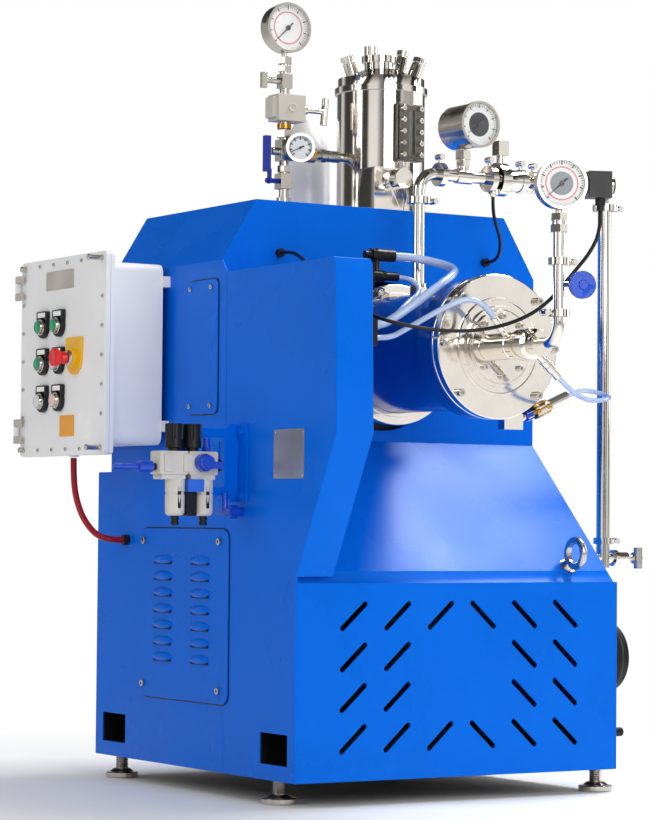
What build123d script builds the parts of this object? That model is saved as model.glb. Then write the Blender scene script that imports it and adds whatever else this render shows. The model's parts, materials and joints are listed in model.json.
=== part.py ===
from build123d import *
from math import cos, radians, sin, tan
import os

os.makedirs("parts", exist_ok=True)

# Everything is in millimetres, +Z up, the slotted front faces -Y and the floor is Z = 0.
# The machine is drawn from its own middle plane and front panel, then placed so that
# the whole envelope is centred on the origin.
reach_right = 565.0
reach_front = 363.803
reach_back = 880.5
front_y = (reach_front - reach_back) / 2

# Cabinet
body_w = 760.0
half = body_w / 2
sheet = 3.0
skin_z = 47.0
panel_top = 423.0
crease_z = 1054.0
roof_z = 1180.0
chamfer_in = 78.0
cab_y = 292.0
upper_back = 750.0
back_y = 807.0
step_z = 640.0
slope_y = 12.0
wing_seam = 270.0
wing_y = -130.0
wing_top = 1030.0
wing_knee = 704.0
wing_return = 82.0
wing_band = 22.0
wing_lean = 7.0
hole_r = 152.0

# Fork pockets, feet
pocket_front = (28.0, 128.0)
pocket_back = (675.0, 775.0)
pocket_z = (77.0, 136.0)
pocket_wall = 4.0
foot_spots = [(-half + 30, 104.0), (half - 15, 50.0), (-half + 35, 752.0), (half - 35, 752.0)]
pad_r = 34.0
pad_t = 12.0
stem_r = 13.0

# Grinding chamber, all on one axis along Y
axis_z = 878.0
shaft_r = 22.0
run_gap = 0.06
jacket_r = 118.0
jacket_in = 100.0
jacket_back = 300.0
band_r = 137.0
band_len = 45.0
lip_t = 4.0
ring_r = 143.0
ring_y = (236.0, 262.0)
flange_r = 140.0
flange_y = (-115.0, -88.0)
cover_r = 95.0
plate_r = 69.0
plate_t = 12.0
ring_t = 5.0
hub_r = 26.0
collar_r = 30.5
ferrule_r = 25.0
hub_end = -258.0

# Drive
motor_z = 300.0
motor_r = 130.0
motor_y = (180.0, 520.0)
motor_shaft_r = 19.0
motor_pulley_r = 70.0
mill_pulley_r = 105.0
pulley_y = (655.0, 705.0)
belt_gap = 0.6
belt_t = 9.0

# Piping
riser_y = 163.0
run_z = 1241.0
run_r = 12.0
down_x = 468.0
down_r = 14.0
tee_z = 469.0
bend_r = 36.0
stand_y = -308.0
stand_r = 10.7

# Vessel and gauge stack
ves = (81.0, 430.0)
ves_r = 92.0
ves_top = 1436.0
stack = (-156.0, 430.0)

# Control enclosure
door_x = -535.0
door_t = 10.0
door_gap = 0.5
flange_t = 9.0
door_y = (485.0, 869.0)
door_z = (670.0, 1079.0)
box_in = 22.0
wall_gap = 14.0
hinge_r = 6.5
pin_r = 4.0
knuckle = 15.0
hinge_y = 874.0
hinge_x = -541.0
hinge_spots = (1000.0, 698.0)
hinge_len = 51.0
button_r = 13.0
bezel_r = 17.0
button_gap = 0.4
button_y = (758.0, 686.0)
button_z = (938.0, 861.0, 784.0)
estop_spot = (618.0, 868.0)

# Air unit
air_y = (175.0, 215.0)
air_z = (618.0, 672.0)
air_x = (-577.0, -451.0)
knob_x = (-537.0, -497.0)
knob_r = 17.5
bowl_x = (-534.0, -472.0)
tube_nut = 38.0
tube_len = 53.0
reach_left = -air_x[0] + tube_nut + tube_len
mid_x = (reach_left - reach_right) / 2


def at(x, y, z):
    return (mid_x + x, front_y + y, z)


def block(x0, x1, y0, y1, z0, z1, mode=Mode.ADD):
    with Locations(at((x0 + x1) / 2, (y0 + y1) / 2, (z0 + z1) / 2)):
        return Box(abs(x1 - x0), abs(y1 - y0), abs(z1 - z0), mode=mode)


def rod(start, towards, r, length, mode=Mode.ADD):
    with Locations(Plane(origin=at(*start), z_dir=towards)):
        return Cylinder(r, length, align=(Align.CENTER, Align.CENTER, Align.MIN), mode=mode)


def frustum(start, towards, r0, r1, length, mode=Mode.ADD):
    with Locations(Plane(origin=at(*start), z_dir=towards)):
        return Cone(r0, r1, length, align=(Align.CENTER, Align.CENTER, Align.MIN), mode=mode)


def hexagon(start, towards, r, length):
    with BuildPart() as nut:
        with BuildSketch(Plane(origin=at(*start), z_dir=towards)):
            RegularPolygon(r, 6)
        extrude(amount=length)
    return nut.part


def turned_block(centre, turn, w, d, h, mode=Mode.ADD):
    with Locations(Location(at(*centre), (0, 0, turn))):
        return Box(w, d, h, mode=mode)


def side_plate(x, t, outline):
    # A plate in the YZ plane: its outline is a list of (y, z), its thickness runs along +X.
    with BuildPart() as plate:
        with BuildSketch(Plane(origin=at(x, 0, 0), x_dir=(0, 1, 0), z_dir=(1, 0, 0))):
            with BuildLine():
                Polyline(*outline, close=True)
            make_face()
        extrude(amount=t)
    return plate.part


def front_plate(y, t, outline):
    # A plate in the XZ plane: its outline is a list of (x, z), its thickness runs along +Y.
    with BuildPart() as plate:
        with BuildSketch(Plane(origin=at(0, y, 0), x_dir=(1, 0, 0), z_dir=(0, -1, 0))):
            with BuildLine():
                Polyline(*outline, close=True)
            make_face()
        extrude(amount=-t)
    return plate.part


def piping(points, r, bend, bore=0.0):
    with BuildPart() as run:
        with BuildLine() as route:
            FilletPolyline(*[at(*p) for p in points], radius=bend)
        with BuildSketch(Plane(origin=route.line @ 0, z_dir=route.line % 0)):
            Circle(r)
            if bore:
                Circle(bore, mode=Mode.SUBTRACT)
        sweep()
    return run.part


def hose(name, points, r):
    # A hose or cable: straight runs joined by tangent arcs, none tighter than the shorter run allows.
    runs = [Vector(*a) - Vector(*b) for a, b in zip(points[1:], points[:-1])]
    bend = 1e9
    for a, b in zip(runs[:-1], runs[1:]):
        turn = radians(a.get_angle(b))
        bend = min(bend, 0.45 * min(a.length, b.length) / tan(turn / 2))
    bend = min(bend, 20 * r)
    print(name, "diameter", round(2 * r, 1), "bend radius", round(bend, 1))
    return piping(points, r, bend)


def gauge_axes(turn):
    # The outward normal of a dial that is turned from the front towards the left, and its right hand.
    a = radians(turn)
    return (-sin(a), -cos(a), 0.0), (cos(a), -sin(a), 0.0)


def along(start, towards, distance):
    return tuple(s + t * distance for s, t in zip(start, towards))


# Base frame: floor pan, rails, fork pockets, legs and the table under the bearing housing.
rail = 40.0
table_z = 700.0
table_t = 20.0
leg_x = 210.0
inner = half - sheet
with BuildPart() as base_frame:
    block(-inner, inner, sheet, back_y - sheet, skin_z, skin_z + 6)
    for sx in (-1, 1):
        block(sx * (inner - rail), sx * inner, sheet, back_y - sheet, skin_z, skin_z + 30)
    for y0, y1 in (pocket_front, pocket_back):
        block(-inner, inner, y0 - pocket_wall, y1 + pocket_wall, pocket_z[0] - pocket_wall,
              pocket_z[1] + pocket_wall)
    for y0, y1 in (pocket_front, pocket_back):
        block(-half - 10, half + 10, y0, y1, pocket_z[0], pocket_z[1], mode=Mode.SUBTRACT)
    for sx in (-1, 1):
        for y in (330.0, 590.0):
            block(sx * leg_x - rail / 2, sx * leg_x + rail / 2, y - rail / 2, y + rail / 2,
                  skin_z, table_z)
    block(-leg_x - rail / 2, leg_x + rail / 2, 310, 610, table_z, table_z + table_t)
    block(-150, 150, 200, 500, skin_z, motor_z - motor_r - 12)
base_frame.part.label = "base_frame"

with BuildPart() as levelling_feet:
    for x, y in foot_spots:
        rod((x, y, 0), (0, 0, 1), pad_r, pad_t)
        frustum((x, y, pad_t), (0, 0, 1), pad_r - 8, stem_r + 3, 7)
        rod((x, y, pad_t), (0, 0, 1), stem_r, skin_z - pad_t)
levelling_feet.part.label = "levelling_feet"

# Cabinet skin: both sides behind the wing seam, the right side, the chamfers, the roof and the front.
roof_line = [(-half, step_z), (-half, crease_z), (-half + chamfer_in, roof_z),
             (half - chamfer_in, roof_z), (half, crease_z), (half, step_z)]
roof_inner = [(-half + sheet, step_z - 1), (-half + sheet, crease_z - 1),
              (-half + chamfer_in + 2, roof_z - sheet), (half - chamfer_in - 2, roof_z - sheet),
              (half - sheet, crease_z - 1), (half - sheet, step_z - 1)]
corner_z = panel_top + cab_y - slope_y
with BuildPart() as cabinet_shell:
    add(front_plate(cab_y, upper_back - sheet - cab_y, roof_line))
    add(front_plate(cab_y + sheet, upper_back - cab_y, roof_inner), mode=Mode.SUBTRACT)
    add(side_plate(-half, sheet, [(wing_seam, skin_z), (back_y - sheet, skin_z), (back_y - sheet, step_z),
                                  (cab_y, step_z), (cab_y, crease_z), (wing_seam, wing_top)]))
    add(side_plate(half - sheet, sheet, [(0, skin_z), (back_y - sheet, skin_z), (back_y - sheet, step_z),
                                         (cab_y, step_z), (cab_y, corner_z), (slope_y, panel_top),
                                         (0, panel_top)]))
    block(-half, half, upper_back - sheet - 15, back_y - sheet, step_z - sheet, step_z)
    block(-half, half, cab_y, cab_y + sheet, step_z, corner_z - 8, mode=Mode.SUBTRACT)
    rod((0, cab_y - 5, axis_z), (0, 1, 0), hole_r, 20, mode=Mode.SUBTRACT)
    for y0, y1 in (pocket_front, pocket_back):
        block(-half - 5, half + 5, y0, y1, pocket_z[0], pocket_z[1], mode=Mode.SUBTRACT)
cabinet_shell.part.label = "cabinet_shell"

# Rear panels, lower and upper, with a row of cooling slots in the lower one.
with BuildPart() as rear_panel:
    block(-half, half, back_y - sheet, back_y, skin_z, step_z)
    add(front_plate(upper_back - sheet, sheet, roof_line))
    for k in range(7):
        z = 200 + 33 * k
        for x in (-120, 120):
            block(x - 70, x + 70, back_y - sheet - 1, back_y + 1, z, z + 10, mode=Mode.SUBTRACT)
rear_panel.part.label = "rear_panel"

# Front hood: the slotted panel, its bent lip and the sloped panel above it.
slot_cols = [-250.0, -150.0, -50.0, 50.0, 150.0, 250.0]
slot_rows = [360.0, 282.0, 205.0, 127.0]
slot_len = 79.0
slot_w = 11.0
slope_end = cab_y - 1
hood_line = [(0, skin_z), (sheet, skin_z), (sheet, panel_top - 2), (slope_y + 2, panel_top - 2),
             (slope_end, corner_z - 4), (slope_end, corner_z), (slope_y + 19, panel_top + 22),
             (slope_y + 17, panel_top + 17), (slope_y, panel_top), (0, panel_top)]
with BuildPart() as front_hood:
    add(side_plate(-half + sheet, body_w - 2 * sheet, hood_line))
    with BuildSketch(Plane(origin=at(0, -2, 0), x_dir=(1, 0, 0), z_dir=(0, -1, 0))):
        for j, z in enumerate(slot_rows):
            for i, x in enumerate(slot_cols):
                if j in (0, 3) or i in (0, 1, 4, 5):
                    with Locations(Location((x, z, 0), (0, 0, 42 if i < 3 else -42))):
                        SlotOverall(slot_len, slot_w)
    extrude(amount=-8, mode=Mode.SUBTRACT)
front_hood.part.label = "front_hood"

# Side wing: the left side of the front, with its return flange towards the chamber.
wing_line = [(0, skin_z), (wing_seam, skin_z), (wing_seam, wing_top), (wing_y + wing_lean, wing_top),
             (wing_y, wing_top - wing_band), (wing_y - 8, wing_knee), (0, panel_top + 12)]
wing_inner = [(sheet + 1, panel_top + 10), (wing_seam + 5, wing_knee - 5), (wing_seam + 5, wing_top - sheet),
              (wing_y + wing_lean + sheet, wing_top - sheet), (wing_y + sheet, wing_top - wing_band - 1),
              (wing_y - 8 + sheet, wing_knee + 1)]
with BuildPart() as side_wing:
    add(side_plate(-half, sheet, wing_line))
    add(side_plate(-half + sheet, wing_return - sheet,
                   [(wing_seam, wing_knee)] + wing_line[2:6] + [(0, panel_top + 12), (sheet, panel_top + 14)]))
    add(side_plate(-half + sheet, wing_return, wing_inner), mode=Mode.SUBTRACT)
    for y0, y1 in (pocket_front, pocket_back):
        block(-half - 5, half + 5, y0, y1, pocket_z[0], pocket_z[1], mode=Mode.SUBTRACT)
side_wing.part.label = "side_wing"

# Removable side covers: the louvred lower one and the plain upper hatch.
louvre_y = (250.0, 607.0)
louvre_z = (180.0, 523.0)
hatch_y = (302.0, 423.0)
hatch_z = (751.0, 1018.0)
cover_t = 3.0
with BuildPart() as side_covers:
    for (y0, y1), (z0, z1), r in ((louvre_y, louvre_z, 22.0), (hatch_y, hatch_z, 14.0)):
        with BuildSketch(Plane(origin=at(-half, (y0 + y1) / 2, (z0 + z1) / 2), x_dir=(0, -1, 0),
                               z_dir=(-1, 0, 0))):
            RectangleRounded(y1 - y0, z1 - z0, r)
        extrude(amount=cover_t)
    for y in (513.0, 360.0):
        for k in range(7):
            z = 254 + 32.8 * k
            with BuildSketch(Plane(origin=at(0, y - 40, 0), x_dir=(1, 0, 0), z_dir=(0, -1, 0))):
                with BuildLine():
                    Polyline((-half - cover_t, z), (-half - cover_t - 7, z), (-half - cover_t, z + 19), close=True)
                make_face()
            extrude(amount=-80)
side_covers.part.label = "side_covers"

# Eye for lifting, standing out of the sloped panel at the right.
eye_at = (283.0, 40.5)
eye_z = panel_top + eye_at[1] - slope_y
eye_n = (0.0, -sin(radians(45)), cos(radians(45)))
eye_up = 41.0
eye_ring = 26.0
eye_wire = 7.5
eye_bore = 20.0
with BuildPart() as lifting_eye:
    rod((eye_at[0], eye_at[1], eye_z), eye_n, 17, 5)
    frustum(along((eye_at[0], eye_at[1], eye_z), eye_n, 5), eye_n, 14, 9, eye_up - eye_ring - 5)
    ring_c = along((eye_at[0], eye_at[1], eye_z), eye_n, eye_up)
    with Locations(Plane(origin=at(*ring_c), z_dir=(1, 0, 0))):
        Torus(eye_ring, eye_wire)
    rod(along(ring_c, (1, 0, 0), -eye_wire), (1, 0, 0), eye_bore, 2 * eye_wire, mode=Mode.SUBTRACT)
    add(front_hood.part, mode=Mode.SUBTRACT)
lifting_eye.part.label = "lifting_eye"

with BuildPart() as data_plate:
    block(-half - 1.2, -half, -25, 85, 620, 714)
    for y in (-19, 79):
        for z in (626, 708):
            rod((-half - 1.2, y, z), (-1, 0, 0), 2.5, 1.6)
data_plate.part.label = "data_plate"

# Drive: the motor, its pulley and shaft, the belts and the driven pulley.
with BuildPart() as drive_motor:
    rod((0, motor_y[0], motor_z), (0, 1, 0), motor_r, motor_y[1] - motor_y[0])
    block(-110, 110, motor_y[0] + 40, motor_y[1] - 40, motor_z - motor_r - 12, motor_z)
    block(90, 165, 280, 400, motor_z - 20, motor_z + 80)
    rod((0, motor_y[1], motor_z), (0, 1, 0), 60, 10)
    rod((0, motor_y[1] - 60, motor_z), (0, 1, 0), motor_shaft_r + run_gap, 100, mode=Mode.SUBTRACT)
drive_motor.part.label = "drive_motor"

with BuildPart() as motor_pulley:
    rod((0, motor_y[1] - 50, motor_z), (0, 1, 0), motor_shaft_r, pulley_y[1] + 5 - motor_y[1] + 50)
    rod((0, pulley_y[0], motor_z), (0, 1, 0), motor_pulley_r, pulley_y[1] - pulley_y[0])
motor_pulley.part.label = "motor_pulley"

with BuildPart() as drive_belts:
    with BuildSketch(Plane(origin=at(0, pulley_y[0] + 4, 0), x_dir=(1, 0, 0), z_dir=(0, -1, 0))) as loop:
        with Locations((0, axis_z)):
            Circle(mill_pulley_r + belt_gap + belt_t)
        with Locations((0, motor_z)):
            Circle(motor_pulley_r + belt_gap + belt_t)
        make_hull()
    extrude(amount=-(pulley_y[1] - pulley_y[0] - 8))
    with BuildSketch(Plane(origin=at(0, pulley_y[0] + 3, 0), x_dir=(1, 0, 0), z_dir=(0, -1, 0))) as hollow:
        with Locations((0, axis_z)):
            Circle(mill_pulley_r + belt_gap)
        with Locations((0, motor_z)):
            Circle(motor_pulley_r + belt_gap)
        make_hull()
    extrude(amount=-(pulley_y[1] - pulley_y[0]), mode=Mode.SUBTRACT)
drive_belts.part.label = "drive_belts"

# Bearing housing on the table, with the mill shaft and its discs.
housing_r = 95.0
housing_y = (320.0, 600.0)
with BuildPart() as bearing_housing:
    rod((0, housing_y[0], axis_z), (0, 1, 0), housing_r, housing_y[1] - housing_y[0])
    rod((0, jacket_back, axis_z), (0, 1, 0), 125, 20)
    block(-80, 80, housing_y[0] + 10, housing_y[1] - 10, table_z + table_t, axis_z)
    rod((0, jacket_back - 1, axis_z), (0, 1, 0), shaft_r + run_gap, 320, mode=Mode.SUBTRACT)
    rod((0, housing_y[0] + 30, axis_z), (0, 1, 0), shaft_r + 14, 220, mode=Mode.SUBTRACT)
bearing_housing.part.label = "bearing_housing"

with BuildPart() as mill_shaft:
    rod((0, -60, axis_z), (0, 1, 0), shaft_r, pulley_y[1] + 8 + 60)
    rod((0, pulley_y[0], axis_z), (0, 1, 0), mill_pulley_r, pulley_y[1] - pulley_y[0])
mill_shaft.part.label = "mill_shaft"

disc_r = 90.0
with BuildPart() as agitator_discs:
    for k in range(6):
        rod((0, -50 + 55 * k, axis_z), (0, 1, 0), disc_r, 12)
    rod((0, -70, axis_z), (0, 1, 0), shaft_r, 400, mode=Mode.SUBTRACT)
    for k in range(6):
        for a in range(0, 360, 60):
            rod((60 * cos(radians(a)), -52 + 55 * k, axis_z + 60 * sin(radians(a))), (0, 1, 0), 12, 16,
                mode=Mode.SUBTRACT)
agitator_discs.part.label = "agitator_discs"

with BuildPart() as chamber_jacket:
    rod((0, flange_y[1] + lip_t, axis_z), (0, 1, 0), jacket_r, jacket_back - flange_y[1] - lip_t)
    rod((0, flange_y[1] + lip_t, axis_z), (0, 1, 0), band_r, band_len)
    rod((0, flange_y[1] - 1, axis_z), (0, 1, 0), jacket_in, jacket_back - flange_y[1] + 2, mode=Mode.SUBTRACT)
chamber_jacket.part.label = "chamber_jacket"

with BuildPart() as chamber_flanges:
    rod((0, ring_y[0], axis_z), (0, 1, 0), ring_r, ring_y[1] - ring_y[0])
    rod((0, ring_y[0] - 5, axis_z), (0, 1, 0), jacket_r + 8, 5)
    rod((0, ring_y[0] - 6, axis_z), (0, 1, 0), jacket_r, 40, mode=Mode.SUBTRACT)
    rod((0, flange_y[0], axis_z), (0, 1, 0), flange_r, flange_y[1] - flange_y[0])
    rod((0, flange_y[1], axis_z), (0, 1, 0), band_r - 5, lip_t)
chamber_flanges.part.label = "chamber_flanges"

with BuildPart() as end_cover:
    rod((0, flange_y[0] - ring_t, axis_z), (0, 1, 0), cover_r, ring_t)
    rod((0, flange_y[0] - ring_t - 1, axis_z), (0, 1, 0), cover_r - 7, ring_t - 1, mode=Mode.SUBTRACT)
    rod((0, flange_y[0] - plate_t + 4, axis_z), (0, 1, 0), plate_r + 9, plate_t - 4)
    rod((0, flange_y[0] - plate_t, axis_z), (0, 1, 0), plate_r, plate_t)
end_cover.part.label = "end_cover"

hub_y = flange_y[0] - plate_t
drain_n = (cos(radians(40)), 0.0, -sin(radians(40)))
feed_n = (-cos(radians(50)), 0.0, sin(radians(50)))
with BuildPart() as outlet_hub:
    rod((0, -192, axis_z), (0, 1, 0), hub_r, -192 * -1 + hub_y)
    rod((0, -226, axis_z), (0, 1, 0), collar_r, 34)
    rod((0, -250, axis_z), (0, 1, 0), hub_r - 4, 24)
    rod((0, hub_end, axis_z), (0, 1, 0), ferrule_r, 8)
    rod(along((0, -212, axis_z), drain_n, collar_r - 6), drain_n, 8, 22)
    add(hexagon(along((0, -212, axis_z), drain_n, collar_r + 16), drain_n, 10, 47))
    rod(along((0, -160, axis_z), feed_n, hub_r - 6), feed_n, 5, 26)
    rod(along((0, -160, axis_z), feed_n, hub_r + 12), feed_n, 9, 30)
outlet_hub.part.label = "outlet_hub"

# Bolts: the end flange, its inner plate, the side covers, the air bracket and the small covers.
with BuildPart() as machine_bolts:
    for a in (0, 45, 135, 180, 225, 315):
        x, z = 129 * cos(radians(a)), axis_z + 129 * sin(radians(a))
        rod((x, flange_y[0] - 12, z), (0, 1, 0), 7.5, 12)
    for a in (45, 135, 225, 270, 315, 90):
        x, z = 58 * cos(radians(a)), axis_z + 58 * sin(radians(a))
        rod((x, hub_y - 8, z), (0, 1, 0), 5.5, 8)
    for y in (louvre_y[0] + 33, louvre_y[1] - 15):
        for z in (louvre_z[0] + 26, louvre_z[1] - 25):
            rod((-half - cover_t, y, z), (-1, 0, 0), 7, 6)
    for y in (hatch_y[0] + 24, hatch_y[1] - 13):
        for z in (hatch_z[0] + 16, hatch_z[1] - 16):
            rod((-half - cover_t, y, z), (-1, 0, 0), 5, 4)
machine_bolts.part.label = "machine_bolts"

# Outlet standpipe, up to its dial.
stand_top = 1122.0
knob_z = 985.0
knob_axis = (-0.29, -0.957, 0.0)
knob_arm = 45.0
knob_up = 17.0
with BuildPart() as outlet_standpipe:
    add(piping([(0, hub_end, axis_z), (0, stand_y, axis_z), (0, stand_y, 1090)], stand_r, 38))
    add(hexagon((0, stand_y, 1083), (0, 0, 1), 17, 14))
    rod((0, stand_y, 1097), (0, 0, 1), 13, 8)
    add(hexagon((0, stand_y, 1105), (0, 0, 1), 16, 13))
    rod((0, stand_y, 1118), (0, 0, 1), 7, stand_top - 1118)
    rod((0, stand_y, knob_z), (1, 0, 0), 7, knob_arm)
    rod(along((knob_arm, stand_y, knob_z), knob_axis, -12), knob_axis, 9, knob_up + 11.6)
outlet_standpipe.part.label = "outlet_standpipe"

chain_at = (44.0, -101.0, 733.0)
chain_n = (cos(radians(23)), 0.0, sin(radians(23)))

# Process pipes: riser and top run, downpipe with its sampling tee.
with BuildPart() as process_pipes:
    add(piping([(0, riser_y, axis_z + jacket_r - 20), (0, riser_y, run_z), (down_x - 46, riser_y, run_z)],
               run_r, bend_r))
    add(piping([(down_x - 46, riser_y, run_z), (down_x, riser_y, run_z), (down_x, riser_y, tee_z - 20)],
               down_r, bend_r))
    rod((half, riser_y, tee_z), (1, 0, 0), 10, down_x - half)
    rod((down_x, riser_y, tee_z), (1, 0, 0), 12, 62)
    rod((down_x + 24, riser_y, tee_z), (1, 0, 0), 17, 9)
    add(hexagon((0, riser_y, axis_z + jacket_r - 20), (0, 0, 1), 19, 34))
    rod((0, riser_y, axis_z + jacket_r + 14), (0, 0, 1), 16, 8)
    rod((90, riser_y, run_z), (1, 0, 0), 15, 36)
    rod((107, riser_y, run_z), (0, 0, 1), 12, 44)
    add(hexagon((107, riser_y, run_z + 20), (0, 0, 1), 15, 12))
    add(hexagon((107, riser_y, run_z + 34), (0, 0, 1), 17, 18))
    rod((186, riser_y, run_z), (1, 0, 0), 34, 22)
    rod((208, riser_y, run_z), (1, 0, 0), 22, 36)
    block(18, 62, -112, -90, 720, 750)
    rod(chain_at, chain_n, 6, 100)
    add(hexagon(along(chain_at, chain_n, 34), chain_n, 11, 14))
    add(hexagon(along(chain_at, chain_n, 56), chain_n, 15, 34))
    rod(along(chain_at, chain_n, 96), chain_n, 10, 46)
    rod((0, flange_y[0] - 5, axis_z), (0, 1, 0), flange_r, 60, mode=Mode.SUBTRACT)
    block(188, 213, riser_y - 12, riser_y + 12, run_z + 50, run_z + 79)
    rod((200, riser_y, run_z + 30), (0, 0, 1), 8, 24)
    rod((182, riser_y, run_z - 20), (0, 0, -1), 6, 16)
    rod((0, flange_y[1] - 5, axis_z), (0, 1, 0), jacket_r, 380, mode=Mode.SUBTRACT)
process_pipes.part.label = "process_pipes"

# Clamps, each a grooved ring with a swing bolt and its wing nut.
with BuildPart() as pipe_clamps:
    for (x, y, z), n, r, b in (
        ((0, stand_y, 925), (0, 0, 1), 20, (-1, 0, 0)),
        ((0, stand_y, 1022), (0, 0, 1), 20, (1, 0, 0)),
        ((0, riser_y, 1179), (0, 0, 1), 24, (1, 0, 0)),
        ((44, riser_y, run_z), (1, 0, 0), 24, (0, 0, 1)),
        ((166, riser_y, run_z), (1, 0, 0), 27, (0, 0, 1)),
        ((244, riser_y, run_z), (1, 0, 0), 24, (0, 0, 1)),
        ((276, riser_y, run_z), (1, 0, 0), 22, (0, 0, 1)),
        ((down_x, riser_y, 1194), (0, 0, 1), 25, (1, 0, 0)),
        ((down_x, riser_y, 498), (0, 0, 1), 20, (1, 0, 0)),
    ):
        rod((x, y, z), n, r, 13)
        middle = along((x, y, z), n, 6.5)
        rod(along(middle, b, r - 4), b, 4, 22)
        rod(along(along(middle, b, r + 12), (0, -1, 0), -10), (0, -1, 0), 6, 20)
    add(process_pipes.part, mode=Mode.SUBTRACT)
    add(outlet_standpipe.part, mode=Mode.SUBTRACT)
pipe_clamps.part.label = "pipe_clamps"

with BuildPart() as sample_handle:
    rod((down_x + 62.5, riser_y, tee_z), (1, 0, 0), 7, 20)
    rod((down_x + 88, riser_y - 6, tee_z - 22), (0, 0, 1), 9, 44)
    rod((down_x + 80, riser_y, tee_z), (1, 0, 0), 12, 16)
sample_handle.part.label = "sample_handle"

with BuildPart() as hand_knob:
    rod(along((knob_arm, stand_y, knob_z), knob_axis, knob_up), knob_axis, 26, 11)
    rod(along((knob_arm, stand_y, knob_z), knob_axis, knob_up + 11), knob_axis, 9, 3)
hand_knob.part.label = "hand_knob"

# Seal vessel on the roof: shell with its lower casing, and the lid with its nozzles.
with BuildPart() as vessel_shell:
    rod((ves[0], ves[1], roof_z), (0, 0, 1), ves_r, ves_top - roof_z)
    block(0, 68, 327, 400, roof_z, 1271)
    rod((ves[0], ves[1], roof_z + 4), (0, 0, 1), ves_r - 5, ves_top - roof_z, mode=Mode.SUBTRACT)
    rod((ves[0], ves[1], ves_top), (0, 0, 1), ves_r + 5.5, 6)
    rod((ves[0], ves[1], ves_top - 1), (0, 0, 1), ves_r - 5, 9, mode=Mode.SUBTRACT)
    rod((56, 300, 1248), (0, 1, 0), 21, 28)
vessel_shell.part.label = "vessel_shell"

with BuildPart() as vessel_lid:
    rod((ves[0], ves[1], ves_top + 6), (0, 0, 1), ves_r + 5.5, 6)
    rod((ves[0], ves[1], ves_top + 12), (0, 0, 1), ves_r - 1, 20)
    frustum((ves[0], ves[1], ves_top + 32), (0, 0, 1), ves_r - 3, 40, 20)
    rod((ves[0] - 6, ves[1], ves_top + 48), (0, 0, 1), 30, 22)
    rod((ves[0] - 6, ves[1], ves_top + 68), (0, 0, 1), 36, 13)
    rod((ves[0] - 26, ves[1], ves_top + 81), (0, 0, 1), 14, 20)
    for x, y, lean, length, r in ((11, 430, -22, 44, 13), (124, 430, 10, 66, 11), (156, 430, 24, 56, 13)):
        n = (sin(radians(lean)), 0, cos(radians(lean)))
        rod((x, y, ves_top + 34), n, r, length - 14)
        rod(along((x, y, ves_top + 34), n, length - 14), n, r - 2, 4)
        rod(along((x, y, ves_top + 34), n, length - 10), n, r + 1, 10)
vessel_lid.part.label = "vessel_lid"

with BuildPart() as sight_block:
    block(54, 117, 325, 350, 1287, 1407)
    rod((ves[0], ves[1], 1280), (0, 0, 1), ves_r, 130, mode=Mode.SUBTRACT)
    block(54, 117, 320, 325, 1290, 1404)
    block(80, 94, 319, 330, 1302, 1394, mode=Mode.SUBTRACT)
    for k in range(5):
        for x in (64, 107):
            rod((x, 312, 1300 + 24 * k), (0, 1, 0), 5.5, 8)
sight_block.part.label = "sight_block"

with BuildPart() as service_tank:
    rod((-2, 600, roof_z), (0, 0, 1), 54, 150)
    frustum((-2, 600, roof_z + 150), (0, 0, 1), 54, 18, 66)
service_tank.part.label = "service_tank"

# Gauge stack: column of fittings, valve bodies and the branch into the vessel.
sx, sy = stack
with BuildPart() as stack_fittings:
    rod((sx, sy, roof_z), (0, 0, 1), 10, 316)
    add(hexagon((sx, sy, roof_z), (0, 0, 1), 18, 12))
    rod((sx, sy, roof_z + 14), (0, 0, 1), 15, 10)
    block(sx - 14, sx + 14, sy - 14, sy + 14, 1222, 1254)
    add(hexagon((sx, sy, 1257), (0, 0, 1), 15, 13))
    block(sx - 14, sx + 14, sy - 14, sy + 14, 1280, 1324)
    rod((sx - 30, sy, 1299), (1, 0, 0), 8, 30)
    add(hexagon((sx, sy, 1328), (0, 0, 1), 17, 16))
    rod((sx, sy, 1346), (0, 0, 1), 14, 12)
    block(sx - 26, sx + 38, sy - 21, sy + 22, 1362, 1416)
    block(sx - 36, sx - 26, sy - 14, sy + 16, 1368, 1410)
    block(sx - 12, sx + 12, sy - 12, sy + 12, 1430, 1460)
    add(hexagon((sx, sy, 1465), (0, 0, 1), 15, 12))
    add(hexagon((sx, sy, 1481), (0, 0, 1), 16, 14))
    rod((sx, sy, 1298), (1, 0, 0), 9, ves[0] - ves_r + 5 - sx)
    add(hexagon((sx + 52, sy, 1298), (1, 0, 0), 16, 22))
    rod((sx + 86, sy, 1298), (1, 0, 0), 14, 12)
    rod((sx + 102, sy, 1298), (1, 0, 0), 12, 30)
    rod((ves[0], sy, roof_z), (0, 0, 1), ves_r, 200, mode=Mode.SUBTRACT)
stack_fittings.part.label = "stack_fittings"

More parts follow.
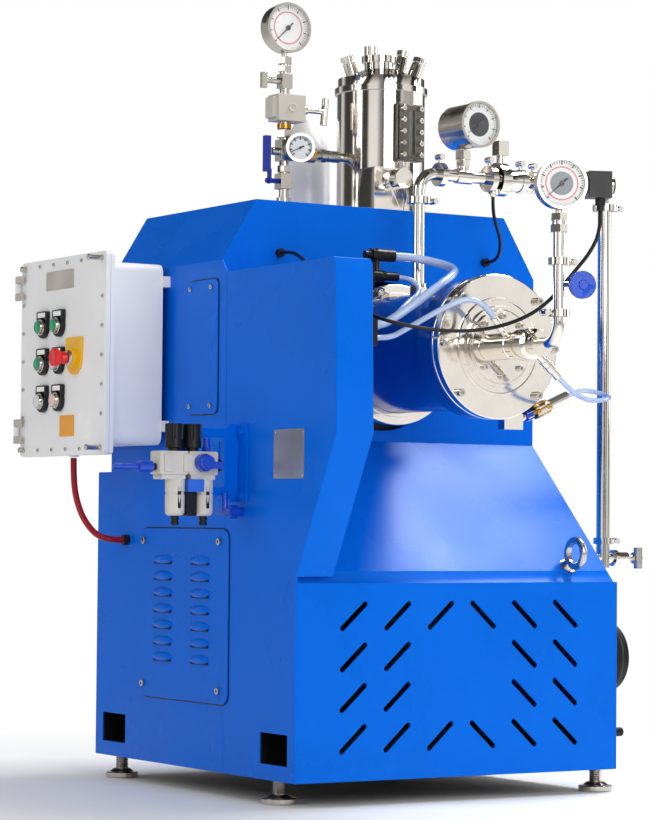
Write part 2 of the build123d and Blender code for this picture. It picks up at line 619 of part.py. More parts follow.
# Dials. Each row is the face centre, the turn towards the left, radius and case depth.
dials = {
    "top": ((stack[0] + 1, 413.0, 1555.0), 0.0, 52.0, 34.0),
    "contact": ((107.0, 100.0, run_z + 100), 0.0, 47.0, 88.0),
    "outlet": ((-7.0, stand_y - 20.0, 1173.0), 22.0, 48.5, 36.0),
    "branch": ((-139.0, 392.0, 1306.0), 22.0, 30.0, 22.0),
}
with BuildPart() as gauge_cases:
    for centre, turn, r, depth in dials.values():
        n, right = gauge_axes(turn)
        back = tuple(-c for c in n)
        rod(centre, back, r - 2, depth)
        rod(centre, back, r, 9)
        rod(along(centre, n, 1), back, r - 5, 9, mode=Mode.SUBTRACT)
    rod((stack[0], stack[1], 1496), (0, 0, 1), 7, 12)
    rod((107, riser_y, run_z + 52), (0, 0, 1), 9, 6)
    rod((0, stand_y, stand_top), (0, 0, 1), 7, 8)
    rod((-131, 410, 1306), (0, 1, 0), 7, 18)
    add(stack_fittings.part, mode=Mode.SUBTRACT)
gauge_cases.part.label = "gauge_cases"

with BuildPart() as gauge_dials:
    for centre, turn, r, depth in dials.values():
        n, right = gauge_axes(turn)
        rod(along(centre, n, -8), n, r - 5, 1)
gauge_dials.part.label = "gauge_dials"

with BuildPart() as clear_windows:
    for centre, turn, r, depth in dials.values():
        n, right = gauge_axes(turn)
        rod(along(centre, n, -2.6), n, r - 5, 2)
    block(80, 94, 322, 324, 1302, 1394)
clear_windows.part.label = "clear_windows"

pointer_turns = {"top": 225.0, "contact": 215.0, "outlet": 222.0, "branch": 205.0}


with BuildPart() as gauge_pointers:
    for key, (centre, turn, r, depth) in dials.items():
        n, right = gauge_axes(turn)
        a = radians(pointer_turns[key])
        tip = tuple(right[i] * cos(a) + (0, 0, 1)[i] * sin(a) for i in range(3))
        rod(along(centre, n, -7), n, r * 0.1, 3)
        with BuildSketch(Plane(origin=at(*along(centre, n, -5.8)), x_dir=tip, z_dir=n)):
            with BuildLine():
                Polyline((-r * 0.3, -1.8), (r * 0.7, -0.5), (r * 0.7, 0.5), (-r * 0.3, 1.8), close=True)
            make_face()
        extrude(amount=0.8)
gauge_pointers.part.label = "gauge_pointers"

# Terminal box beside the outlet dial.
t_n, t_right = gauge_axes(22.0)
t_c = along(along(dials["outlet"][0], t_right, 74), t_n, -19)
with BuildPart() as terminal_box:
    turned_block(t_c, -22, 44, 34, 50)
    rod(along(t_c, t_right, 22), t_right, 16, 7)
    rod(along(t_c, t_right, -18), along((0, 0, 0), t_right, -1), 9, 20)
    rod(along(along(t_c, t_right, 4), (0, 0, -1), 20), (0, 0, -1), 10, 18)
    rod(along(along(t_c, t_right, 4), (0, 0, -1), 38), (0, 0, -1), 7, 10)
    add(gauge_cases.part, mode=Mode.SUBTRACT)
terminal_box.part.label = "terminal_box"
t_end = along(along(t_c, t_right, 4), (0, 0, -1), 48)

lever_x = sx - 14.5
with BuildPart() as stack_lever:
    rod((lever_x, sy, 1238), (-1, 0, 0), 5, 28)
    block(lever_x - 22, lever_x - 18, sy - 6, sy + 6, 1232, 1262)
    block(lever_x - 33, lever_x - 20, sy - 6, sy + 6, 1256, 1330)
stack_lever.part.label = "stack_lever"

reg_x = sx + 38.5
with BuildPart() as regulator_handle:
    rod((reg_x, sy, 1390), (1, 0, 0), 6, 56)
    rod((reg_x + 4, sy, 1390), (1, 0, 0), 10, 10)
    rod((reg_x + 56, sy, 1362), (0.1, 0, 1), 7, 56)
regulator_handle.part.label = "regulator_handle"

with BuildPart() as purge_handle:
    rod((sx - 12.5, sy, 1445), (-1, 0, 0), 6.5, 34)
    block(sx - 56, sx - 44, sy - 5, sy + 5, 1428, 1460)
purge_handle.part.label = "purge_handle"

# Control enclosure, bolted to the left side on four lugs.
box_y = (door_y[0] + box_in, door_y[1] - box_in)
box_z = (door_z[0] + box_in, door_z[1] - box_in + 3)
flange_x = door_x + door_t + door_gap
box_wall = 6.0
with BuildPart() as enclosure_body:
    with BuildSketch(Plane(origin=at(flange_x + flange_t, (box_y[0] + box_y[1]) / 2, (box_z[0] + box_z[1]) / 2),
                           x_dir=(0, -1, 0), z_dir=(-1, 0, 0))):
        RectangleRounded(box_y[1] - box_y[0], box_z[1] - box_z[0], 18)
    extrude(amount=-(-half - wall_gap - flange_x - flange_t))
    with BuildSketch(Plane(origin=at(flange_x, (door_y[0] + door_y[1]) / 2, (door_z[0] + door_z[1]) / 2),
                           x_dir=(0, -1, 0), z_dir=(-1, 0, 0))):
        RectangleRounded(door_y[1] - door_y[0], door_z[1] - door_z[0], 10)
    extrude(amount=-flange_t)
    block(flange_x - 1, -half - wall_gap - box_wall, box_y[0] + box_wall, box_y[1] - box_wall,
          box_z[0] + box_wall, box_z[1] - box_wall, mode=Mode.SUBTRACT)
    for y in (box_y[0] + 4, box_y[1] - 4):
        for z in (box_z[0] + 38, box_z[1] - 36):
            block(-half - wall_gap - 1, -half, y - 10, y + 10, z - 11, z + 11)
    rod((-470, 747, box_z[0] + 2), (0, 0, -1), 11, 24)
    for z in hinge_spots:
        ear = (z + knuckle + 0.4, z + hinge_len - knuckle - 0.4)
        block(flange_x, flange_x + flange_t, door_y[1] - 2, hinge_y + hinge_r, *ear)
        block(hinge_x, flange_x + flange_t, door_y[1] + 1.5, hinge_y + hinge_r, *ear)
        rod((hinge_x, hinge_y, ear[0]), (0, 0, 1), hinge_r, ear[1] - ear[0])
        rod((hinge_x, hinge_y, z), (0, 0, 1), pin_r + run_gap, hinge_len, mode=Mode.SUBTRACT)
enclosure_body.part.label = "enclosure_body"

with BuildPart() as enclosure_door:
    with BuildSketch(Plane(origin=at(door_x + door_t, (door_y[0] + door_y[1]) / 2, (door_z[0] + door_z[1]) / 2),
                           x_dir=(0, -1, 0), z_dir=(-1, 0, 0))):
        RectangleRounded(door_y[1] - door_y[0], door_z[1] - door_z[0], 10)
    extrude(amount=door_t)
    for y in button_y:
        for z in button_z:
            rod((door_x - 5, y, z), (1, 0, 0), button_r - 2 + button_gap, 30, mode=Mode.SUBTRACT)
    rod((door_x - 5, estop_spot[0], estop_spot[1]), (1, 0, 0), 9 + button_gap, 30, mode=Mode.SUBTRACT)
enclosure_door.part.label = "enclosure_door"

# Button back plates with their bezels, the yellow plate, the screws and blank plates of the door.
back_t = 9.0
with BuildPart() as button_plates:
    for y in button_y:
        for z in button_z:
            block(door_x - back_t, door_x, y - 23, y + 23, z - 24, z + 33)
            rod((door_x - 10, y, z), (1, 0, 0), button_r - 2 + button_gap, 20, mode=Mode.SUBTRACT)
button_plates.part.label = "button_plates"

with BuildPart() as estop_plate:
    block(door_x - 5, door_x, estop_spot[0] - 36, estop_spot[0] + 36, estop_spot[1] - 34, estop_spot[1] + 43)
    rod((door_x - 5, estop_spot[0], estop_spot[1]), (-1, 0, 0), 19, 9)
    rod((door_x + 1, estop_spot[0], estop_spot[1]), (-1, 0, 0), 9 + button_gap, 30, mode=Mode.SUBTRACT)
estop_plate.part.label = "estop_plate"

# Metal trim of the door: hinge pins and knuckles, button bezels, screws, studs and a blank plate.
with BuildPart() as door_metalwork:
    for z in hinge_spots:
        rod((hinge_x, hinge_y, z), (0, 0, 1), pin_r, hinge_len)
        for z0 in (z, z + hinge_len - knuckle):
            rod((hinge_x, hinge_y, z0), (0, 0, 1), hinge_r, knuckle)
            block(hinge_x - hinge_r, door_x, door_y[1] - 22, hinge_y, z0, z0 + knuckle)
    for y in button_y:
        for z in button_z:
            rod((door_x - back_t, y, z), (-1, 0, 0), bezel_r, 9)
            rod((door_x - back_t + 1, y, z), (-1, 0, 0), button_r + button_gap, 30, mode=Mode.SUBTRACT)
    rod((door_x - 14, estop_spot[0], estop_spot[1]), (-1, 0, 0), 16, 6)
    rod((door_x - 10, estop_spot[0], estop_spot[1]), (-1, 0, 0), 9 + button_gap, 20, mode=Mode.SUBTRACT)
    for y in (door_y[0] + 14, door_y[1] - 14):
        for z in (988.0, 929.0, 870.0, 811.0, 752.0):
            rod((door_x, y, z), (-1, 0, 0), 4, 3)
    for z in (door_z[0] + 13, door_z[1] - 13):
        for y in (782.0, 719.0, 656.0, 593.0, 530.0):
            rod((door_x, y, z), (-1, 0, 0), 4, 3)
    for z in (door_z[0] + 14, door_z[1] - 14):
        rod((door_x, door_y[0] + 18, z), (-1, 0, 0), 6, 34)
        rod((door_x, door_y[1] - 18, z), (-1, 0, 0), 6, 12)
    block(door_x - 1.2, door_x, 627, 752, 1013, 1052)
door_metalwork.part.label = "door_metalwork"


stem_in = 5.0


def push_button(name, y, z):
    with BuildPart() as button:
        rod((door_x + door_t - stem_in, y, z), (-1, 0, 0), button_r - 2, door_t - stem_in + back_t + 3)
        rod((door_x - back_t - 3, y, z), (-1, 0, 0), button_r, 9)
    button.part.label = name
    return button.part


buttons = {}
for j, z in enumerate(button_z):
    for i, y in enumerate(button_y):
        name = "button_" + "abc"[j] + str(i + 1)
        buttons[name] = push_button(name, y, z)

with BuildPart() as estop_head:
    rod((door_x + door_t - stem_in, estop_spot[0], estop_spot[1]), (-1, 0, 0), 9, door_t - stem_in + 36)
    frustum((door_x - 25, estop_spot[0], estop_spot[1]), (-1, 0, 0), 14, 9, 12)
    frustum((door_x - 34, estop_spot[0], estop_spot[1]), (-1, 0, 0), 12, 19, 8)
    rod((door_x - 42, estop_spot[0], estop_spot[1]), (-1, 0, 0), 19, 10)
estop_head.part.label = "estop_head"

# Air unit on its bracket: bodies, bowls, drains, tube stub and the drain valve below.
with BuildPart() as air_unit:
    block(air_x[0], air_x[1], air_y[0], air_y[1], air_z[0] + 8, air_z[1])
    block(air_x[0] + 8, air_x[1] - 2, air_y[0] + 2, air_y[1] - 2, air_z[0], air_z[0] + 8)
    for x in (air_x[0] + 8, air_x[0] + 50):
        block(x, x + 20, air_y[0] - 3, air_y[0], air_z[0] + 10, air_z[1] - 10)
    for x in bowl_x:
        rod((x, 195, 548), (0, 0, 1), 19, air_z[0] - 548)
        rod((x, 195, 530), (0, 0, 1), 8, 18)
    block(-516, -494, air_y[0] + 5, 205, 548, air_z[0] - 24)
    block(-516, -482, air_y[0] - 2, 205, air_z[0] - 24, air_z[0])
    rod((air_x[0], 195, 641), (-1, 0, 0), 7, 8)
    rod((air_x[1], 188, 646), (1, 0, 0), 12, 14)
    for x in knob_x:
        rod((x, 195, air_z[1]), (0, 0, 1), 12, 6)
air_unit.part.label = "air_unit"

with BuildPart() as air_fittings:
    rod((air_x[0] - 8, 195, 641), (-1, 0, 0), 11, tube_nut - 8)
    rod((air_x[0] - tube_nut, 195, 641), (-1, 0, 0), 6, tube_len)
    rod((-486, air_y[0], 650), (0, -1, 0), 17, 14)
    rod((-486, air_y[0] - 14, 650), (0, -1, 0), 14, 12)
    block(-488, -452, air_y[0] - 24, air_y[0] - 16, 638, 652)
    add(hexagon((-466, 195, air_z[1]), (0, 0, 1), 10, 8))
    rod((-466, 195, air_z[1] + 8), (0, 0, 1), 7, 18)
    rod((-half, 204, 557), (-1, 0, 0), 9, 14)
    add(hexagon((-half - 12, 204, 557), (-1, 0, 0), 13, 16))
    rod((-half - 28, 204, 557), (-1, 0, 0), 7, 12)
    block(-half - 44, -half - 38, 177, 231, 551, 563)
    rod((-half - 41, 200, 557), (0, 0, 1), 6, 36)
air_fittings.part.label = "air_fittings"


def air_knob(name, x):
    with BuildPart() as knob:
        rod((x, 195, air_z[1] + 6.4), (0, 0, 1), knob_r, 46)
        for a in range(0, 360, 60):
            rod((x + 19 * cos(radians(a)), 195 + 19 * sin(radians(a)), air_z[1] + 22), (0, 0, 1), 4, 40,
                mode=Mode.SUBTRACT)
    knob.part.label = name
    return knob.part


air_knob_a = air_knob("air_knob_a", knob_x[0])
air_knob_b = air_knob("air_knob_b", knob_x[1])

# Folded bracket of the air unit: wall flange, upright web with cut corners, two arms and their cross plate.
web = 34.0
arm_z = (576.0, 728.0)
with BuildPart() as air_bracket:
    add(side_plate(-half - 4, 4, [(182, arm_z[0]), (222, arm_z[0]), (222, arm_z[1]), (182, arm_z[1])]))
    add(front_plate(215, 4, [(-half, arm_z[0]), (-half, arm_z[1]), (-half - web + 12, arm_z[1]),
                             (-half - web, arm_z[1] - 12), (-half - web, arm_z[0] + 22),
                             (-half - web + 14, arm_z[0])]))
    block(-540, -half - web + 10, 215, 219, arm_z[1] - 28, arm_z[1] - 10)
    block(-540, -half - web + 10, 215, 219, arm_z[0] + 12, arm_z[0] + 28)
    block(-540, -500, 215, 219, arm_z[0] + 12, arm_z[1] - 10)
    for z in (arm_z[1] - 16, arm_z[0] + 12):
        rod((-half - 4, 196, z), (-1, 0, 0), 6, 7)
air_bracket.part.label = "air_bracket"

# Round cowl of the cooling fan on the right side, with the small knob and nipple near it.
with BuildPart() as fan_cowl:
    rod((half, 96, 268), (1, 0, 0), 90, 20)
    frustum((half + 20, 96, 268), (1, 0, 0), 90, 70, 18)
    rod((half + 38, 96, 268), (1, 0, 0), 70, 14)
    rod((half, 60, 380), (1, 0, 0), 11, 26)
    rod((half, 16, 120), (1, 0, 0), 9, 24)
fan_cowl.part.label = "fan_cowl"

# Hose manifold and return block behind the wing, and the glands of the cables.
top_hose_z = 1063.0
low_hose_z = 1022.0
tee_at = (-141.0, 100.0)
gland_l = (-248.0, 1075.0)
gland_r = (252.0, 1083.0)
cord_gland = (672.0, 498.0)
return_face = -247.0
with BuildPart() as hose_manifold:
    block(tee_at[0] - 74, tee_at[0] - 12, tee_at[1] - 12, tee_at[1] + 12, low_hose_z - 30, low_hose_z + 16)
    block(tee_at[0] - 74, tee_at[0] - 54, tee_at[1] + 10, cab_y, low_hose_z - 22, low_hose_z + 14)
    rod((*tee_at, low_hose_z - 10), (0, 0, 1), 7, top_hose_z - low_hose_z + 10)
    rod((tee_at[0] - 28, tee_at[1], top_hose_z), (1, 0, 0), 7.5, 20)
    add(hexagon((tee_at[0] - 13, tee_at[1], top_hose_z), (1, 0, 0), 13.5, 10))
    rod((tee_at[0] - 4, tee_at[1], top_hose_z), (1, 0, 0), 13, 12)
    rod((tee_at[0] + 8, tee_at[1], top_hose_z), (1, 0, 0), 12.5, 31)
    rod((tee_at[0] - 14, tee_at[1], low_hose_z), (1, 0, 0), 11.5, 24)
    add(hexagon((tee_at[0] + 9, tee_at[1], low_hose_z), (1, 0, 0), 11.5, 9))
    rod((tee_at[0] + 18, tee_at[1], low_hose_z), (1, 0, 0), 9, 31)
    block(-half + sheet, return_face, -70, 20, 872, 926)
    for x, z in (gland_l, gland_r):
        rod((x, cab_y, z), (0, -1, 0), 9, 10)
    rod((-half, *cord_gland), (-1, 0, 0), 11, 12)
hose_manifold.part.label = "hose_manifold"

# Cords and hoses, each from one fitting of the machine to another.
with BuildPart() as power_cable:
    add(hose("power cable", [(-470, 747, box_z[0] - 22), (-470, 747, 622), (-469, 732, 575), (-463, 704, 532),
                             (-442, *cord_gland), (-half - 12, *cord_gland)], 6.5))
power_cable.part.label = "power_cable"

cable_r = 3.6
with BuildPart() as signal_cables:
    add(hose("contact cable", [(182, riser_y, run_z - 36), (182, riser_y, 1178), (197, 175, 1153), (224, 196, 1128),
                               (245, 224, 1103), (gland_r[0], 252, gland_r[1]),
                               (gland_r[0], cab_y - 10, gland_r[1])], cable_r))
    add(hose("outlet cable", [(gland_l[0], cab_y - 10, gland_l[1]), (gland_l[0], 248, gland_l[1]),
                              (-256, 196, 1060), (-268, 142, 1034),
                              (-276, 86, 1004), (-280, 30, 977), (-280, -30, 950), (-268, -84, 927),
                              (-233, -116, 912), (-185, -140, 903), (-133, -155, 900), (-83, -172, 903),
                              (-46, -203, 913), (-17, -238, 930), (4, -268, 954), (24, -286, 984),
                              (50, -294, 1016), (68, -314, 1048), (t_end[0], t_end[1], 1086), t_end], cable_r))
signal_cables.part.label = "signal_cables"

with BuildPart() as clear_hoses:
    add(hose("jacket hose", [(tee_at[0] + 39, tee_at[1], top_hose_z), (-60, tee_at[1], top_hose_z),
                             (-26, 84, 1056), (-10, 48, 1046),
                             (-16, 8, 1034), (-42, -22, 1021), (-80, -42, 1002), (-118, -54, 980),
                             (-154, -54, 956), (-186, -44, 933), (-212, -30, 914), (return_face, -30, 914)], 8.5))
    add(hose("seal hose", [(tee_at[0] + 49, tee_at[1], low_hose_z), (-64, tee_at[1], low_hose_z), (-46, 92, 1006),
                           (-58, 76, 988), (-90, 56, 974), (-130, 36, 948), (-168, 16, 924),
                           (-208, 6, 908), (return_face, 6, 908)], 5.0))
    add(hose("feed hose", [(return_face, -56, 888), (-212, -56, 888), (-190, -80, 905), (-166, -110, 926),
                             (-136, -138, 948), (-100, -156, 965), along((0, -160, axis_z), feed_n, 98),
                           along((0, -160, axis_z), feed_n, 68)], 5.5))
    add(hose("return hose", [along((0, -212, axis_z), drain_n, 93.5), along((0, -212, axis_z), drain_n, 124),
                             (128, -206, 782), (168, -192, 776), (204, -186, 780), (230, -167, 786),
                             (237, -137, 794), (224, -111, 800), along(chain_at, chain_n, 174),
                             along(chain_at, chain_n, 142)], 4.5))
clear_hoses.part.label = "clear_hoses"

nodes = [base_frame, levelling_feet, cabinet_shell, rear_panel, front_hood, side_wing, side_covers, lifting_eye,
         data_plate, drive_motor, motor_pulley, drive_belts, bearing_housing, mill_shaft,
         agitator_discs, chamber_jacket, chamber_flanges, end_cover, outlet_hub, machine_bolts,
         outlet_standpipe, process_pipes, pipe_clamps, sample_handle, hand_knob, gauge_cases, gauge_dials,
         gauge_pointers, clear_windows, terminal_box, vessel_shell, vessel_lid, sight_block, service_tank,
         stack_fittings, stack_lever, regulator_handle, purge_handle, enclosure_body, enclosure_door, button_plates,
         estop_plate, door_metalwork, estop_head, air_unit, air_fittings, air_bracket, fan_cowl,
         hose_manifold, power_cable, signal_cables, clear_hoses]
parts = [node.part for node in nodes] + [air_knob_a, air_knob_b, *buttons.values()]
for part in parts:
    export_step(part, "parts/" + part.label + ".step")

# The machine's own envelope, without the hoses and cables.
body = [p.bounding_box() for p in parts if p.label not in ("power_cable", "signal_cables", "clear_hoses")]
print("envelope", [round(min(getattr(b.min, a) for b in body), 3) for a in "XYZ"],
      [round(max(getattr(b.max, a) for b in body), 3) for a in "XYZ"])
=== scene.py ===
import json
import math
import bmesh
import bpy
from mathutils import Matrix, Vector


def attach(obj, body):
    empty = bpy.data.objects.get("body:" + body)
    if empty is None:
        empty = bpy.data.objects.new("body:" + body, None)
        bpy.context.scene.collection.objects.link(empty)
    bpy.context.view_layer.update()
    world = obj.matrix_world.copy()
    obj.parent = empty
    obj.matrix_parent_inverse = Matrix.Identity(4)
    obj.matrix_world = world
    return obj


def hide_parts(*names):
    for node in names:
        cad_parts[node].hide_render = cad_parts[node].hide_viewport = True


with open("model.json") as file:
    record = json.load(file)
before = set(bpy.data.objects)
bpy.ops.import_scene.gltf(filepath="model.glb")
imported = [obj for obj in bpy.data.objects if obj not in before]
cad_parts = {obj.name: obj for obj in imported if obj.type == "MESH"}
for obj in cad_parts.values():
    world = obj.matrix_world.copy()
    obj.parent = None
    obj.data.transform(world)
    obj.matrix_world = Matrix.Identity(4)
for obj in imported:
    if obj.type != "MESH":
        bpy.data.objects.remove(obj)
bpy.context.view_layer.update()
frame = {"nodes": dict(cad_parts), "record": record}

# The view and the room. A bead mill stands on a pale workshop floor, seen from its left front corner
# by a long lens, under broad soft lamps. Every place below is in millimetres from the machine's own
# middle plane, front panel and floor.
MIDDLE, FRONT = 51.5, -258.3485


def place(x, y, z):
    return Vector(((MIDDLE + x) / 1000, (FRONT + y) / 1000, z / 1000))


def node(tree, kind, wires=(), **settings):
    made = tree.nodes.new(kind)
    for key, value in settings.items():
        setattr(made, key, value)
    for socket, source in dict(wires).items():
        if isinstance(source, bpy.types.NodeSocket):
            tree.links.new(source, made.inputs[socket])
        else:
            made.inputs[socket].default_value = source
    return made


def linear(code, alpha=1.0):
    parts = [int(code[i:i + 2], 16) / 255 for i in (0, 2, 4)]
    return tuple(c / 12.92 if c <= 0.04045 else ((c + 0.055) / 1.055) ** 2.4 for c in parts) + (alpha,)


lens = bpy.data.cameras.new("view")
lens.lens, lens.sensor_width, lens.clip_end = 125.749, 36.0, 60.0
camera = bpy.data.objects.new("view", lens)
bpy.context.scene.collection.objects.link(camera)
camera_at = (-3189.8, -4599.0, 537.2)
yaw, pitch, roll = math.radians(32.0105), math.radians(2.2547), math.radians(0.5062)
ahead = Vector((math.sin(yaw) * math.cos(pitch), math.cos(yaw) * math.cos(pitch), math.sin(pitch)))
across = Vector((math.cos(yaw), -math.sin(yaw), 0))
above = across.cross(ahead)
right = math.cos(roll) * across + math.sin(roll) * above
up = -math.sin(roll) * across + math.cos(roll) * above
stand = Matrix((right, up, -ahead)).transposed().to_4x4()
camera.matrix_world = Matrix.Translation(place(*camera_at)) @ stand
bpy.context.scene.camera = camera
bpy.context.scene.view_settings.view_transform = "Standard"

# The room is white to the eye and through glass. Metal sees white near the horizon, with darker doorways
# between, and a dim ceiling, so that round steel carries the light and dark streaks of a studio.
room = bpy.data.worlds.new("room")
bpy.context.scene.world = room
room.use_nodes = True
tree = room.node_tree
tree.nodes.clear()
path = node(tree, "ShaderNodeLightPath")
look = node(tree, "ShaderNodeTexCoord")
parts = node(tree, "ShaderNodeSeparateXYZ", {0: look.outputs["Generated"]})
bearing = node(tree, "ShaderNodeMath", {0: parts.outputs[1], 1: parts.outputs[0]}, operation="ARCTAN2")
share = node(tree, "ShaderNodeMapRange", {0: bearing.outputs[0], 1: -math.pi, 2: math.pi, 3: 0.0, 4: 1.0})
walls = node(tree, "ShaderNodeValToRGB", {0: share.outputs[0]})
bands = ((0.0, 0.3), (0.03, 0.05), (0.06, 0.06), (0.075, 1.0), (0.13, 1.0), (0.155, 0.35), (0.18, 0.05), (0.22, 0.06),
         (0.24, 0.9), (0.27, 0.05), (0.30, 0.06), (0.32, 1.0), (0.38, 0.95), (0.40, 0.05), (0.44, 0.06),
         (0.47, 0.85), (0.53, 0.8), (0.56, 0.05), (0.62, 0.06), (0.65, 0.95), (0.72, 0.2), (0.79, 0.06),
         (0.82, 0.9), (0.86, 0.06), (0.93, 0.05), (0.95, 0.6))
while len(walls.color_ramp.elements) < len(bands):
    walls.color_ramp.elements.new(0.5)
for held, (spot, shade) in zip(walls.color_ramp.elements, bands):
    held.position, held.color = spot, (shade, shade, shade, 1)
height = node(tree, "ShaderNodeMapRange", {0: parts.outputs[2], 1: 0.1, 2: 0.45, 3: 1.0, 4: 0.2})
metal_sees = node(tree, "ShaderNodeMath", {0: walls.outputs[0], 1: height.outputs[0]}, operation="MULTIPLY")
sky = node(tree, "ShaderNodeMapRange", {0: parts.outputs[2], 1: -0.1, 2: 0.8, 3: 0.32, 4: 0.62})
lit = node(tree, "ShaderNodeMix", {"Factor": path.outputs["Is Glossy Ray"], "A": sky.outputs[0],
                                   "B": metal_sees.outputs[0]})
eye = node(tree, "ShaderNodeMath", {0: path.outputs["Is Camera Ray"], 1: path.outputs["Is Transmission Ray"]},
           operation="MAXIMUM")
power = node(tree, "ShaderNodeMix", {"Factor": eye.outputs[0], "A": lit.outputs[0], "B": 1.0})
air = node(tree, "ShaderNodeBackground", {"Color": (1, 1, 1, 1), "Strength": power.outputs[0]})
node(tree, "ShaderNodeOutputWorld", {"Surface": air.outputs[0]})

# The floor is pale and dull near the machine, where it keeps the shadow, and turns white further off. It
# reaches well past the view on every side, so that no edge of it shows.
reach, dull_to, white_from = 30, 0.72, 1.8
floor_mesh = bpy.data.meshes.new("floor")
floor_mesh.from_pydata([(-reach, -reach, 0), (reach, -reach, 0), (reach, reach, 0), (-reach, reach, 0)], [],
                       [(0, 1, 2, 3)])
floor = bpy.data.objects.new("floor", floor_mesh)
bpy.context.scene.collection.objects.link(floor)
pale = bpy.data.materials.new("pale_floor")
pale.use_nodes = True
tree = pale.node_tree
tree.nodes.clear()
path = node(tree, "ShaderNodeLightPath")
spot = node(tree, "ShaderNodeTexCoord")
away = node(tree, "ShaderNodeVectorMath", {0: spot.outputs["Object"]}, operation="LENGTH")
white = node(tree, "ShaderNodeMapRange", {0: away.outputs["Value"], 1: dull_to, 2: white_from, 3: 0.0, 4: 1.0})
eye = node(tree, "ShaderNodeMath", {0: path.outputs["Is Camera Ray"], 1: path.outputs["Is Transmission Ray"]},
           operation="MAXIMUM")
seen = node(tree, "ShaderNodeMath", {0: eye.outputs[0], 1: white.outputs[0]}, operation="MULTIPLY")
dull = node(tree, "ShaderNodeBsdfPrincipled", {"Base Color": linear("F4F4F4"), "Roughness": 0.6})
glow = node(tree, "ShaderNodeEmission", {"Color": (1, 1, 1, 1), "Strength": 1.0})
both = node(tree, "ShaderNodeMixShader", {0: seen.outputs[0], 1: dull.outputs[0], 2: glow.outputs[0]})
node(tree, "ShaderNodeOutputMaterial", {"Surface": both.outputs[0]})
floor_mesh.materials.append(pale)

for name, at, target, size, watts in (
    ("front", (-750, -4300, 2300), (0, 100, 650), 2.4, 76),
    ("top", (1600, 150, 3300), (0, 150, 560), 1.1, 92),
    ("left", (-4300, 900, 2300), (-380, 500, 700), 2.0, 26),
    ("right", (4200, -400, 1900), (380, 300, 700), 2.0, 36),
):
    lamp = bpy.data.lights.new(name, "AREA")
    lamp.size, lamp.energy = size, watts
    holder = bpy.data.objects.new(name, lamp)
    bpy.context.scene.collection.objects.link(holder)
    holder.location = place(*at)
    holder.rotation_euler = (place(*target) - place(*at)).to_track_quat("-Z", "Y").to_euler()


# Hoses and cables. Clear PVC hoses carry cooling and flushing water to the chamber, and black and red
# rubber-sheathed cables feed the dials and the control box. Each is pushed or clamped into a fitting.
noise_span = {1: 0.3, 2: 0.7}  # most of a noise texture's values lie between these two


def sheath(name, code, rough, grain_mm, depth_mm, gloss=0.4, coat=0.0):
    # A moulded or extruded skin: an even colour, with a fine grain that breaks up its highlights.
    made = bpy.data.materials.new(name)
    made.use_nodes = True
    tree = made.node_tree
    tree.nodes.clear()
    spot = node(tree, "ShaderNodeTexCoord")
    grain = node(tree, "ShaderNodeTexNoise", {"Vector": spot.outputs["Object"], "Scale": 1000 / grain_mm,
                                              "Detail": 3.0})
    wear = node(tree, "ShaderNodeTexNoise", {"Vector": spot.outputs["Object"], "Scale": 14.0, "Detail": 4.0})
    dull = node(tree, "ShaderNodeMapRange", {0: wear.outputs[0], **noise_span, 3: rough * 0.85, 4: rough * 1.2})
    shade = node(tree, "ShaderNodeMapRange", {0: wear.outputs[0], **noise_span, 3: 0.94, 4: 1.04})
    tint = node(tree, "ShaderNodeMix", {"Factor": 1.0, "A": linear(code), "B": shade.outputs[0]},
                data_type="RGBA", blend_type="MULTIPLY")
    bump = node(tree, "ShaderNodeBump", {"Strength": 0.5, "Distance": depth_mm / 1000, "Height": grain.outputs[0]})
    skin = node(tree, "ShaderNodeBsdfPrincipled", {"Base Color": tint.outputs["Result"], "Roughness": dull.outputs[0],
                                                   "Specular IOR Level": gloss, "Coat Weight": coat,
                                                   "Normal": bump.outputs[0]})
    node(tree, "ShaderNodeOutputMaterial", {"Surface": skin.outputs[0]})
    return made


black_rubber = sheath("black_rubber_sheath", "0A0B0D", 0.36, 1.2, 0.05)
red_rubber = sheath("red_rubber_sheath", "A80F16", 0.33, 1.2, 0.05)

# Clear PVC: a bluish wall that passes light, darker where it is seen edge on, with a hard highlight.
clear_pvc = bpy.data.materials.new("clear_pvc")
clear_pvc.use_nodes = True
tree = clear_pvc.node_tree
tree.nodes.clear()
spot = node(tree, "ShaderNodeTexCoord")
haze = node(tree, "ShaderNodeTexNoise", {"Vector": spot.outputs["Object"], "Scale": 60.0, "Detail": 3.0})
cloud = node(tree, "ShaderNodeMapRange", {0: haze.outputs[0], **noise_span, 3: 0.06, 4: 0.14})
rim = node(tree, "ShaderNodeLayerWeight", {"Blend": 0.42})
wall = node(tree, "ShaderNodeMix", {"Factor": rim.outputs["Facing"], "A": linear("D9E9FF"), "B": linear("2F78D2")},
            data_type="RGBA")
skin = node(tree, "ShaderNodeBsdfPrincipled", {"Base Color": wall.outputs["Result"], "Roughness": cloud.outputs[0],
                                               "Transmission Weight": 0.25, "IOR": 1.35, "Coat Weight": 0.5})
node(tree, "ShaderNodeOutputMaterial", {"Surface": skin.outputs[0]})


def laid(name, points, mm_wide, material, stands_for):
    line = bpy.data.curves.new(name, "CURVE")
    line.dimensions, line.bevel_depth, line.bevel_resolution = "3D", mm_wide / 2000, 6
    line.resolution_u, line.use_fill_caps = 12, True
    run = line.splines.new("NURBS")
    run.points.add(len(points) - 1)
    for held, at in zip(run.points, points):
        held.co = (*place(*at), 1.0)
    run.order_u, run.use_endpoint_u = 3, True
    piece = bpy.data.objects.new(name, line)
    bpy.context.scene.collection.objects.link(piece)
    line.materials.append(material)
    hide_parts(stands_for)
    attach(piece, "machine")


